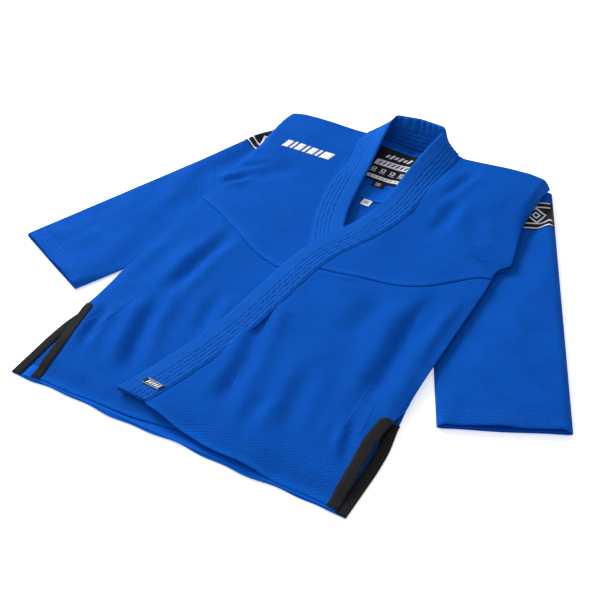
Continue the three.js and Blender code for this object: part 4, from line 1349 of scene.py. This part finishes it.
# ---- Back ----------------------------------------------------------------------------------------
@dataclass
class Back:
    """The back, its yoke lining and its hem facing."""

    layout: Layout
    columns: int = 130
    rows: int = 150

    def build(self) -> None:
        """Makes the back and what is sewn to it."""
        half, low = self.layout.neck_half + 18 * MM, self.layout.length - 168 * MM
        self._panel()
        self._lining(half, low)
        self._facing()
        self._stitch(half, low)

    def _panel(self) -> None:
        """Makes the back itself."""
        lay = self.layout
        u = np.linspace(-1, 1, self.columns)
        v = np.linspace(0, 1, self.rows)
        top = lay.length - 2 * MM
        y = np.tile(v[None] * top, (self.columns, 1))
        inset = 1.5 * MM + 6.5 * MM * smoothstep(y, lay.vent, lay.vent + 60 * MM)
        x = u[:, None] * (lay.edge.x_at(y) - inset)
        neck = 6 * MM * (1 - smoothstep(np.abs(x), lay.neck_half - 50 * MM, lay.neck_half + 5 * MM))
        y = y * (1 + (neck + lay.top_line(np.abs(x) + 8 * MM) - lay.length) / top)
        wave = 1.8 * MM * np.sin(x / (33 * MM) + 1) + 1.2 * MM * np.sin(x / (13 * MM))
        wave = wave * smoothstep(np.abs(x), lay.half, lay.half - 50 * MM)
        y = y + wave * smoothstep(y, 30 * MM, 0)
        free = smoothstep(y, 200 * MM, 120 * MM)
        rise = Ripple(21, 60 * MM, 160 * MM).at(x, y)
        z = lay.back_top(x, y) + 0.5 * MM * (1 + rise) * free
        z = z + 0.4 * MM * smoothstep(y, 26 * MM, 22 * MM)
        skin = closed_sheet(np.stack([x, y, z], -1), lay.fabric)
        back = Maker.make("back_panel_cloth", skin, PEARL)
        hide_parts("back_panel")
        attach(back, "body")

    def _lining(self, half: float, low: float) -> None:
        """Makes the yoke lining, from half its width and the y of its lower edge."""
        lay = self.layout
        x, y = np.meshgrid(np.linspace(-half, half, 60), np.linspace(low, lay.length - 12 * MM, 44),
                           indexing="ij")
        edge = np.minimum(y - low, half - np.abs(x))
        z = lay.back_top(x, y) + 0.6 * MM + lay.lining + 0.35 * MM * bell(edge, 4 * MM)
        z = z + 0.5 * MM * (1 + Ripple(31, 40 * MM, 110 * MM).at(x, y)) * smoothstep(edge, 0, 20 * MM)
        skin = closed_sheet(np.stack([x, y, z], -1), lay.lining)
        lining = Maker.make("back_yoke_lining_cloth", skin, LINING)
        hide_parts("back_yoke_lining")
        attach(lining, "body")

    def _facing(self) -> None:
        """Makes the turned-up hem."""
        lay = self.layout
        span = lay.half + 9 * MM - 21 * MM
        x, y = np.meshgrid(np.linspace(-span, span, 90), np.linspace(2 * MM, 26 * MM, 8),
                           indexing="ij")
        z = lay.back_top(x, y) + 0.9 * MM + lay.lining
        skin = closed_sheet(np.stack([x, y, z], -1), lay.lining * 0.8)
        facing = Maker.make("back_hem_facing_cloth", skin, LINING)
        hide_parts("back_hem_facing")
        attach(facing, "body")

    def _stitch(self, half: float, low: float) -> None:
        """Sews along the yoke lining's lower edge and along the hem."""
        lay = self.layout
        rows = []
        for inset in (3 * MM, 9 * MM):
            x = np.linspace(-half + inset, half - inset, 90)
            y = np.full(90, low + inset)
            p = np.stack([x, y, lay.back_top(x, y) + 0.95 * MM + lay.lining + 0.4 * MM], -1)
            rows.append(flat_row(p))
        for rise in (19 * MM, 24 * MM):
            x = np.linspace(-lay.half + 16 * MM, lay.half - 16 * MM, 200)
            y = np.full(200, rise)
            p = np.stack([x, y, lay.back_top(x, y) + 1.0 * MM + lay.lining], -1)
            rows.append(flat_row(p))
        piece = Maker.make("back_stitching", Seam().stitches(rows), SHADED_BLUE_THREAD, "weave")
        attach(piece, "body")


# ---- Vents ---------------------------------------------------------------------------------------
@dataclass
class Vent:
    """One side vent: a tape round each of its two edges, and the sewn patch above it."""

    layout: Layout
    front: Front
    width: float = 16 * MM
    cloth: float = 0.9 * MM
    cap: float = 13 * MM
    patch_foot: float = 124 * MM
    patch_height: float = 100 * MM
    patch_outer: float = 251 * MM
    patch_lean: float = 14 * MM
    patch_widths: tuple = (29, 24)

    def _tape(self, name: str, line: Array, height: Callable[[Array, Array], Array], node: str) -> None:
        """Makes a tape folded round a cloth edge.

        Args:
            name: The piece's name.
            line: Plan points along the cloth's edge, from the hem up.
            height: The height of the cloth's upper face, as a function of x and y.
            node: The CAD node that it replaces.
        """
        side = self.front.side
        ahead = unit(np.gradient(line, axis=0))
        inward = np.stack([-ahead[:, 1], ahead[:, 0]], 1)
        fabric, cloth = self.layout.fabric, self.cloth
        turn = np.linspace(-math.pi / 2, math.pi / 2, 7)
        reach = fabric / 2 + cloth
        outer = [(self.width, reach + 0.25 * MM), (self.width * 0.6, reach + 0.3 * MM),
                 (self.width * 0.3, reach + 0.25 * MM), (2 * MM, reach + 0.2 * MM)]
        outer += [(-reach * math.cos(t), -reach * math.sin(t)) for t in turn]
        outer += [(2 * MM, -reach - 0.1 * MM), (self.width * 0.4, -reach), (self.width * 0.8, -reach)]
        gap = fabric / 2 + 0.12 * MM
        inner = [(self.width * 0.8, -gap), (2 * MM, -gap)]
        inner += [(-gap * math.cos(t), -gap * math.sin(t)) for t in turn[::-1]]
        inner += [(2 * MM, gap), (self.width * 0.3, gap + 0.1 * MM),
                  (self.width * 0.6, gap + 0.15 * MM), (self.width, gap + 0.1 * MM)]
        section = np.array(outer + inner)
        run = travelled(line)
        top = np.clip((run - run[-1] + self.cap) / self.cap, 0, 0.97)
        narrowed = np.sqrt(1 - top ** 2)[:, None, None]
        reach_in = section[None, :, :1] * np.where(section[None, :, :1] > 0, narrowed, 1)
        plan = line[:, None] + inward[:, None] * reach_in
        at = line[:, None] + np.maximum(reach_in, 0) * inward[:, None]
        z = height(at[..., 0], at[..., 1]) - fabric / 2 + section[None, :, 1]
        z = z + 0.18 * MM * np.sin(run[:, None] / (4.1 * MM)) * (section[None, :, 0] > 0)
        rings = np.concatenate([plan, z[..., None]], -1)
        skin = tube(rings[:, ::-1], spread(travelled(section), run)[:, ::-1])
        piece = Maker.make(name, skin.on(side), TAPE)
        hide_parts(node)
        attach(piece, "body")
        rows = []
        for inset in (2 * MM, self.width - 2 * MM):
            p = line + inward * inset
            zs = height(p[:, 0], p[:, 1]) + cloth + 0.3 * MM
            rows.append(flat_row(np.column_stack([p[:, 0] * side.value, p[:, 1], zs])))
        thread = Maker.make(f"{name}_stitching", Seam(2.4 * MM, 1.6 * MM, 0.26 * MM).stitches(rows),
                            BLACK_THREAD, "tape")
        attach(thread, "body")

    def build(self) -> None:
        """Makes the two tapes and the patch."""
        lay, side = self.layout, self.front.side
        word = side.word
        y = np.linspace(float(lay.hem_line(np.array(lay.half))) - 0.5 * MM, lay.vent - 1 * MM, 70)
        edge = self.front._outer(y)
        line = np.stack([edge + 0.3 * MM, y], 1)
        self._tape(f"{word}_vent_front_tape_cloth", line,
                   lambda x, y: lay.front_top(side, x, y), f"{word}_vent_front_tape")
        y = np.linspace(0.3 * MM, lay.vent + 5 * MM, 64)
        line = np.stack([lay.edge.x_at(y) - 0.5 * MM, y], 1)
        self._tape(f"{word}_vent_back_tape_cloth", line, lambda x, y: lay.back_top(x, y) + 0.6 * MM,
                   f"{word}_vent_back_tape")
        self._patch()

    def _patch(self) -> None:
        """Makes the narrow patch above the vent, sewn on with double rows."""
        lay, side, word = self.layout, self.front.side, self.front.side.word

        def at(u: Array, v: Array, lift: float) -> Array:
            """Points over the patch on the left, from shares across and along it."""
            wide, narrow = self.patch_widths
            width = (wide - (wide - narrow) * v) * MM
            x = self.patch_outer - self.patch_lean * v - width * (1 - u)
            y = self.patch_foot + self.patch_height * v
            return np.stack([x, y, lay.front_top(side, x, y) + lift], -1)

        skin = closed_sheet(at(*shares(12, 34), 0.35 * MM), 0.8 * MM, 0.3)
        patch = Maker.make(f"{word}_vent_patch_cloth", skin.on(side), PEARL)
        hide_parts(f"{word}_vent_patch")
        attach(patch, "body")
        rows = [[(inset, 0.02), (inset, 0.98), (1 - inset, 0.98), (1 - inset, 0.02), (inset, 0.02)]
                for inset in (0.07, 0.2)]
        rows += [[(0.07, v), (0.93, v)] for v in (0.5, 0.55)]
        sewn = []
        for loop in rows:
            sides = len(loop) - 1
            corners = np.array(loop)
            s, w = sampled(np.linspace(0, sides, 40 * sides), np.arange(len(loop)), corners).T
            sewn.append(flat_row(at(s, w, 0.45 * MM) * np.array([side.value, 1, 1])))
        thread = Maker.make(f"{word}_vent_patch_stitching", Seam().stitches(sewn), SHADED_BLUE_THREAD,
                            "weave")
        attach(thread, "body")


# ---- Sleeves -------------------------------------------------------------------------------------
@dataclass
class Sleeve:
    """One sleeve: a laid tube with its cuff facing, gusset, shoulder patch and rows."""

    layout: Layout
    side: Side
    around: int = 46
    rings: int = 150
    facing: float = 32 * MM
    patch_inset: float = 12 * MM
    patch_drop: float = 32 * MM
    patch_across: float = 52 * MM
    patch_along: float = 80 * MM
    patch_margin: float = 13 * MM

    def face(self, share: Array, upper: Array, down: Array, inset: float) -> Array:
        """Points of the sleeve's wall.

        Args:
            share: Shares across from the outer fold to the inner one.
            upper: 1 for points of the upper layer and 0 for the lower one.
            down: Distances down the sleeve.
            inset: Depth below the outer face.

        Returns:
            The points, in the layout's frame on the left side.
        """
        lay = self.layout
        width = lay.sleeve_width(down)
        skew = 16 * MM * (1 - down / lay.sleeve_length)
        inward = lerp(inset, width - inset, share)
        cap = 15 * MM * smoothstep(inward, 0, 42 * MM) * smoothstep(down, 30 * MM, 0)
        plan = lay.sleeve_point(down - skew * inward / width - cap, inward)
        rim = np.sqrt(np.clip(np.minimum(share, 1 - share) / 0.05, 0, 1))
        ripple = Ripple(41 + self.side.value, 50 * MM, 170 * MM)
        fine = Ripple(51 + self.side.value, 18 * MM, 46 * MM)
        clear = plan[..., 0] - lay.edge.x_at(np.clip(plan[..., 1], 0, lay.length))
        loose = smoothstep(clear, 8 * MM, 50 * MM)
        uneven = 1.1 * MM * ripple.at(plan[..., 0], plan[..., 1]) * loose
        uneven = uneven + 0.22 * MM * fine.at(plan[..., 0], plan[..., 1]) * loose
        for fold in SLEEVE_FOLDS[self.side]:
            uneven = uneven + fold.height(inward, down) * loose
        at_cuff = smoothstep(lay.sleeve_length - down, 24 * MM, 0)
        uneven = uneven + 1.6 * MM * np.sin(inward / (15 * MM) + self.side.value) * at_cuff * loose
        uneven = uneven * smoothstep(np.minimum(share, 1 - share), 0.0, 0.16)
        top = lay.sleeve_top(plan, down) + uneven - inset
        middle = lay.sleeve_flat / 2
        lift = 0.8 * MM * at_cuff * (1 + np.sin(inward / (21 * MM))) * loose
        z = np.where(upper > 0.5, lerp(middle, top, rim), lerp(middle, inset + lift, rim))
        return np.concatenate([plan, z[..., None]], -1)

    def _section(self) -> tuple[Array, Array]:
        """Shares across and layers, once round the sleeve."""
        share = 0.5 - 0.5 * np.cos(np.linspace(0, math.pi, self.around))
        share = lerp(share, np.linspace(0, 1, self.around), 0.35)
        both = np.concatenate([share, share[1:-1][::-1]])
        upper = np.concatenate([np.ones(self.around), np.zeros(self.around - 2)])
        return both, upper

    def wall(self, start: float, stop: float, rings: int, outset: float, inset: float) -> Skin:
        """A closed tube wall between two distances down the sleeve, with a rounded rim."""
        share, upper = self._section()
        down = np.linspace(start, stop, rings)
        across, along = np.meshgrid(share, down)
        layer = np.tile(upper[None], (rings, 1))
        outer = self.face(across, layer, along, outset)
        inner = self.face(across, layer, along, inset)
        lip = self.face(across[-1:], layer[-1:], along[-1:] + 0.6 * MM, (outset + inset) / 2)
        grid = np.concatenate([outer, lip, inner[::-1]])
        uv = np.stack([(across + layer * 2) * self.layout.sleeve_head, along], -1)
        cloth = np.concatenate([uv, uv[-1:], uv[::-1]])
        return tube(grid[:, ::-1], cloth[:, ::-1], capped=False)

    def build(self) -> None:
        """Makes the sleeve and everything that is sewn to it."""
        lay, word = self.layout, self.side.word
        body = f"{word}_sleeve"
        skin = self.wall(0, lay.sleeve_length, self.rings, 0.0, lay.sleeve_cloth)
        sleeve = Maker.make(f"{word}_sleeve_cloth", skin.on(self.side), PEARL)
        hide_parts(f"{word}_sleeve")
        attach(sleeve, body)
        start = lay.sleeve_length - self.facing
        inset = lay.sleeve_cloth + 0.2 * MM
        skin = self.wall(start, lay.sleeve_length - 1.5 * MM, 16, inset, inset + lay.lining)
        facing = Maker.make(f"{word}_cuff_facing_cloth", skin.on(self.side), LINING)
        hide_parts(f"{word}_cuff_facing")
        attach(facing, body)
        rows = []
        for rise in (11 * MM, 17 * MM, 25 * MM):
            share = np.linspace(0.012, 0.985, 110)
            down = np.full(110, lay.sleeve_length - rise)
            for upper in (1.0, 0.0):
                points = self.face(share, np.full(110, upper), down, -0.08 * MM)
                points = points * np.array([self.side.value, 1, 1])
                rows.append(flat_row(points, 1.0 if upper else -1.0))
        thread = Maker.make(f"{word}_cuff_stitching", Seam().stitches(rows), PALE_THREAD, "weave")
        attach(thread, body)
        self._gusset(body)
        self._patch(body)

    def _on_top(self, share: Array, down: Array, lift: float) -> Array:
        """Points just above the upper layer, laid out on the left."""
        return self.face(share, np.ones(np.shape(share)), down, 0.0) + np.array([0, 0, lift])

    def _gusset(self, body: str) -> None:
        """Makes the underarm gusset on the sleeve's inner side."""
        word, head = self.side.word, self.layout.sleeve_head
        u, v = shares(14, 30)
        share = (head - 18 * MM - 64 * MM * (1 - u)) / head
        down = 23 * MM + 150 * MM * v
        skin = closed_sheet(self._on_top(share, down, 0.5 * MM)[::-1], 0.9 * MM)
        piece = Maker.make(f"{word}_underarm_gusset_cloth", skin.on(self.side), LINING)
        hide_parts(f"{word}_underarm_gusset")
        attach(piece, body)

    def _patch(self, body: str) -> None:
        """Makes the shoulder patch with its border lines and a plain nested diamond."""
        word = self.side.word
        head = self.layout.sleeve_head

        def at(u: Array, v: Array, lift: float) -> Array:
            """Points over the patch, from shares across and along it."""
            width = self.patch_across + self.patch_margin
            inward = self.patch_inset - self.patch_margin + width * u
            down = self.patch_drop + self.patch_along * v
            return self._on_top(np.clip(inward / head, 0.004, 1), down, lift)

        u, v = np.meshgrid(np.linspace(0.03, 1, 26), np.linspace(0, 1, 26), indexing="ij")
        skin = closed_sheet(at(u, v, 1.0 * MM)[::-1], 0.8 * MM, 0)
        patch = Maker.make(f"{word}_shoulder_patch_cloth", skin.on(self.side), DAMASK)
        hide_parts(f"{word}_shoulder_patch")
        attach(patch, body)
        skins = []
        for a, b, c, d in self._strips():
            s, t = (share[..., None] for share in shares(33, 3))
            mid = lerp(lerp(a, b, s), lerp(d, c, s), t)
            skins.append(closed_sheet(at(mid[..., 0], mid[..., 1], 1.3 * MM), 0.25 * MM, 0))
        marks = Maker.make(f"{word}_shoulder_patch_weft", joined(skins).on(self.side), WHITE_THREAD,
                           "white")
        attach(marks, body)

    @staticmethod
    def _strips() -> list:
        """The corners of the patch's lines and nested diamonds, as shares of its size."""
        strips = [((0.1, low), (0.96, low), (0.96, high), (0.1, high))
                  for low, high in ((0.02, 0.055), (0.945, 0.98))]
        for reach, bar in ((0.3, 0.07), (0.13, 0.06)):
            ring, core = ([(0.5 + r * 0.95 * math.cos(t), 0.5 + r * math.sin(t))
                           for t in np.arange(5) * math.pi / 2] for r in (reach, reach - bar))
            strips += [(ring[k], ring[k + 1], core[k + 1], core[k]) for k in range(4)]
        strips += [((0.1, v - 0.02), (0.9, v - 0.02), (0.9, v + 0.02), (0.1, v + 0.02))
                   for v in (0.2, 0.8)]
        return [np.array(strip) for strip in strips]


SLEEVE_FOLDS = folds_of({
    Side.LEFT: (
        (((0.03, 0.13), (0.05, 0.22), (0.06, 0.33)), 17, 2.6, 0.4),
        (((0.11, 0.24), (0.1, 0.34), (0.12, 0.46)), 20, 2.2, 0.4),
        (((0.16, 0.44), (0.15, 0.5), (0.155, 0.575)), 13, 1.8, 0.3),
    ),
    Side.RIGHT: (
        (((0.03, 0.11), (0.06, 0.2), (0.07, 0.31)), 17, 2.6, 0.4),
        (((0.12, 0.2), (0.11, 0.32), (0.13, 0.44)), 20, 2.0, 0.4),
        (((0.06, 0.45), (0.07, 0.51), (0.065, 0.575)), 13, 1.6, 0.3),
    ),
})


# ---- Labels and embroidery -----------------------------------------------------------------------
def slanted(wide: float, tall: float, lean: float = 0.2) -> tuple:
    """The corners of a bar about its middle, leaning over by a share of its height each way."""
    w, h, x = wide / 2, tall / 2, tall * lean
    return (-w - x, -h), (w - x, -h), (w + x, h), (-w + x, h)


def box(wide: float, tall: float) -> tuple:
    """The corners of an upright bar about its middle."""
    return slanted(wide, tall, 0)


@dataclass
class Labels:
    """The labels at the back of the neck and the embroidery on the chest."""

    layout: Layout
    width: float = 92 * MM
    height: float = 96 * MM
    across: float = -14 * MM

    def _base(self, x: Array, y: Array) -> Array:
        """The height on which the neck's labels lie."""
        return self.layout.back_top(x, y) + 3.4 * MM + 0.35 * MM * np.sin(x / (13 * MM))

    def _plate(self, centre: tuple, size: tuple, lift: float) -> Skin:
        """A small rectangular label on the lining."""
        u, v = np.meshgrid(np.linspace(-0.5, 0.5, 22), np.linspace(-0.5, 0.5, 22), indexing="ij")
        x, y = centre[0] + u * size[0], centre[1] + v * size[1]
        return closed_sheet(np.stack([x, y, self._base(x, y) + lift], -1), 0.7 * MM, 0)

    def _mark(self, centre: tuple, corners: tuple, lift: float) -> Skin:
        """A flat woven mark, from its corners about a centre."""
        a, b, c, d = np.array(corners) + np.array(centre)
        s, t = (share[..., None] for share in shares(25, 4))
        plan = lerp(lerp(a, b, s), lerp(d, c, s), t)
        x, y = plan[..., 0], plan[..., 1]
        return closed_sheet(np.stack([x, y, self._base(x, y) + lift], -1), 0.2 * MM, 0)

    def build(self) -> None:
        """Makes the neck label, its size tab, the care label and the chest embroidery."""
        centre = (self.across, self.layout.length - 20 * MM - self.height / 2)
        label = Maker.make("neck_label_cloth", self._plate(centre, (self.width, self.height), 0.0),
                           DAMASK)
        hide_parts("neck_label")
        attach(label, "body")
        self._woven(centre)
        self._small(centre[1] - self.height / 2)
        self._embroidery()

    def _woven(self, centre: tuple) -> None:
        """Weaves the neck label's white strips and squares, and the dark marks on them."""

        def row(count: int, pitch: float, rise: float) -> list:
            """Evenly spaced places across the label, at a height over its middle."""
            middle = (count - 1) / 2
            return [(centre[0] + (k - middle) * pitch, centre[1] + rise) for k in range(count)]

        title, band, icons, foot = 29 * MM, 6 * MM, -16 * MM, -38 * MM
        white = [(at, slanted(5 * MM, 12 * MM if k % 2 else 8 * MM))
                 for k, at in enumerate(row(6, 9 * MM, title))]
        white += [(at, box(74 * MM, 17 * MM)) for at in row(1, 0, band)]
        for at in row(4, 19 * MM, icons):
            white += [(at, box(9 * MM, 9 * MM)), ((at[0], at[1] - 8 * MM), box(12 * MM, 1.4 * MM))]
        white += [(at, box(84 * MM, 9 * MM)) for at in row(1, 0, foot)]
        dark = [(at, slanted(3.4 * MM, 9 * MM)) for at in row(7, 9 * MM, band)]
        dark += [(at, box(4.5 * MM, 4.5 * MM)) for at in row(4, 19 * MM, icons)]
        dark += [(at, box(5 * MM, 1.6 * MM)) for at in row(9, 8.5 * MM, foot)]
        for name, marks, finish, lift in (
                ("neck_label_weft", white, WHITE_LABEL, 0.25 * MM),
                ("neck_label_dark_weft", dark, DAMASK, 0.45 * MM)):
            skin = joined([self._mark(at, corners, lift) for at, corners in marks])
            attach(Maker.make(name, skin, finish, smooth=False), "body")

    def _small(self, foot: float) -> None:
        """Makes the size tab under the neck label's foot and the care label under the lining."""
        below = self.layout.length - 176.4 * MM
        for node, at, size, low, finish, thread in (
                ("size_tab", (self.across, foot - 7.9 * MM), (24 * MM, 15 * MM), 0,
                 DAMASK, WHITE_THREAD),
                ("care_label", (-10 * MM, below), (17 * MM, 16 * MM), -1.9 * MM,
                 WHITE_LABEL, DAMASK)):
            piece = Maker.make(f"{node}_cloth", self._plate(at, size, low), finish)
            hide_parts(node)
            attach(piece, node)
            line, lift = box(10 * MM, 1.2 * MM), low + 0.25 * MM
            lines = [self._mark((at[0], at[1] + k * 3.2 * MM), line, lift) for k in (-1, 0, 1)]
            weft = Maker.make(f"{node}_weft", joined(lines), thread, finish.slot, smooth=False)
            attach(weft, node)

    def _embroidery(self) -> None:
        """Embroiders a row of plain slanted bars on the wearer's right chest."""
        lay = self.layout
        centre = np.array([lay.half * 0.592, lay.length * 0.863])
        skins = []
        s, t = shares(9, 13)
        middle, lean, tall = 51, 5.0, 19 * MM
        for start, wide in ((0, 13), (17, 6), (27, 13), (44, 6), (54, 13), (71, 6), (81, 21)):
            x = (start - middle + wide * s + lean * (t - 0.5)) * MM
            y = (t - 0.5) * tall
            px, py = centre[0] - x, centre[1] + y
            puff = 0.7 * MM * np.sqrt(np.clip(1 - (2 * s - 1) ** 2, 0, 1))
            z = lay.front_top(Side.RIGHT, px, py) + 0.5 * MM + puff
            grid = np.stack([-px, py, z], -1)
            skins.append(closed_sheet(grid, 0.4 * MM, 0))
        motif = Maker.make("chest_embroidery", joined(skins), WHITE_THREAD, "white")
        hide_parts("chest_motif")
        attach(motif, "body")


# ---- Studio --------------------------------------------------------------------------------------
@dataclass
class Studio:
    """The pale floor, the soft lights and the camera."""

    azimuth: float = 33.57
    elevation: float = 41.03
    roll: float = -4.27
    distance: float = 1.762
    target: tuple = (0.0163, -0.050, 0.0)
    lens: float = 64.85
    floor_half: float = 6.0
    floor_drop: float = 0.6 * MM
    low_sky: float = 0.26
    high_sky: float = 0.73

    def build(self) -> None:
        """Sets the floor, the lights and the camera."""
        self._floor()
        self._lights()
        self._camera()

    def _floor(self) -> None:
        """Makes a wide pale floor with a faint paper grain."""
        n = Nodes("floor_paper")
        place = (n.add("ShaderNodeTexCoord"), "Object")
        grain = n.fed("ShaderNodeTexNoise", place, Scale=60.0, Detail=2.0)
        n.dye((grain, 0), (0.93, 0.93, 0.93), (0.96, 0.96, 0.96), 0.3, 0.7)
        n.surface(Roughness=0.9, Specular_IOR_Level=0.1, Emission_Color=(1, 1, 1, 1),
                  Emission_Strength=0.45)
        mesh = bpy.data.meshes.new("floor")
        s = self.floor_half
        mesh.from_pydata([(-s, -s, 0), (s, -s, 0), (s, s, 0), (-s, s, 0)], [], [(0, 1, 2, 3)])
        mesh.materials.append(n.material)
        floor = bpy.data.objects.new("floor", mesh)
        floor.location.z = -self.floor_drop
        bpy.context.scene.collection.objects.link(floor)

    def _lights(self) -> None:
        """Sets a pale surround, a broad key light at the wearer's right and a weak fill."""
        scene = bpy.context.scene
        world = bpy.data.worlds.new("studio")
        world.use_nodes = True
        tree = world.node_tree
        place = tree.nodes.new("ShaderNodeTexCoord")
        parts = tree.nodes.new("ShaderNodeSeparateXYZ")
        rise = tree.nodes.new("ShaderNodeMapRange")
        rise.inputs["To Min"].default_value = self.low_sky
        rise.inputs["To Max"].default_value = self.high_sky
        tree.links.new(place.outputs["Generated"], parts.inputs[0])
        tree.links.new(parts.outputs["Z"], rise.inputs["Value"])
        background = tree.nodes["Background"]
        background.inputs[0].default_value = (1.0, 1.0, 1.0, 1)
        tree.links.new(rise.outputs[0], background.inputs[1])
        scene.world = world
        for name, place, size, power in (
                ("key", (-2.2, 0.8, 1.7), 1.0, 95.0), ("fill", (0.6, -2.4, 2.6), 2.5, 9.0)):
            light = bpy.data.lights.new(name, "AREA")
            light.energy, light.size = power, size
            lamp = bpy.data.objects.new(name, light)
            lamp.location = place
            lamp.rotation_mode = "QUATERNION"
            lamp.rotation_quaternion = (-Vector(place)).to_track_quat("-Z", "Y")
            scene.collection.objects.link(lamp)
        scene.view_settings.view_transform = "Standard"

    def _camera(self) -> None:
        """Sets the camera by its angles and distance from the target."""
        a, e, r = (math.radians(v) for v in (self.azimuth, self.elevation, self.roll))
        back = Vector((math.sin(a) * math.cos(e), -math.cos(a) * math.cos(e), math.sin(e)))
        level = Vector((math.cos(a), math.sin(a), 0))
        upright = back.cross(level)
        right = level * math.cos(r) + upright * math.sin(r)
        up = back.cross(right)
        data = bpy.data.cameras.new("camera")
        data.lens, data.sensor_width = self.lens, 36.0
        camera = bpy.data.objects.new("camera", data)
        turn = Matrix((right, up, back)).transposed().to_4x4()
        camera.matrix_world = Matrix.Translation(Vector(self.target) + back * self.distance) @ turn
        bpy.context.scene.collection.objects.link(camera)
        bpy.context.scene.camera = camera


def main() -> None:
    """Builds the studio and the jacket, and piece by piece."""
    logging.basicConfig(level=logging.INFO, format="%(name)s: %(message)s")
    Studio().build()
    layout = Layout(folds=FRONT_FOLDS)
    Back(layout).build()
    for side in Side:
        front = Front(layout, side)
        front.build()
        Vent(layout, front).build()
        Sleeve(layout, side).build()
    Band(layout).build()
    Labels(layout).build()


if __name__ == "__main__":
    main()
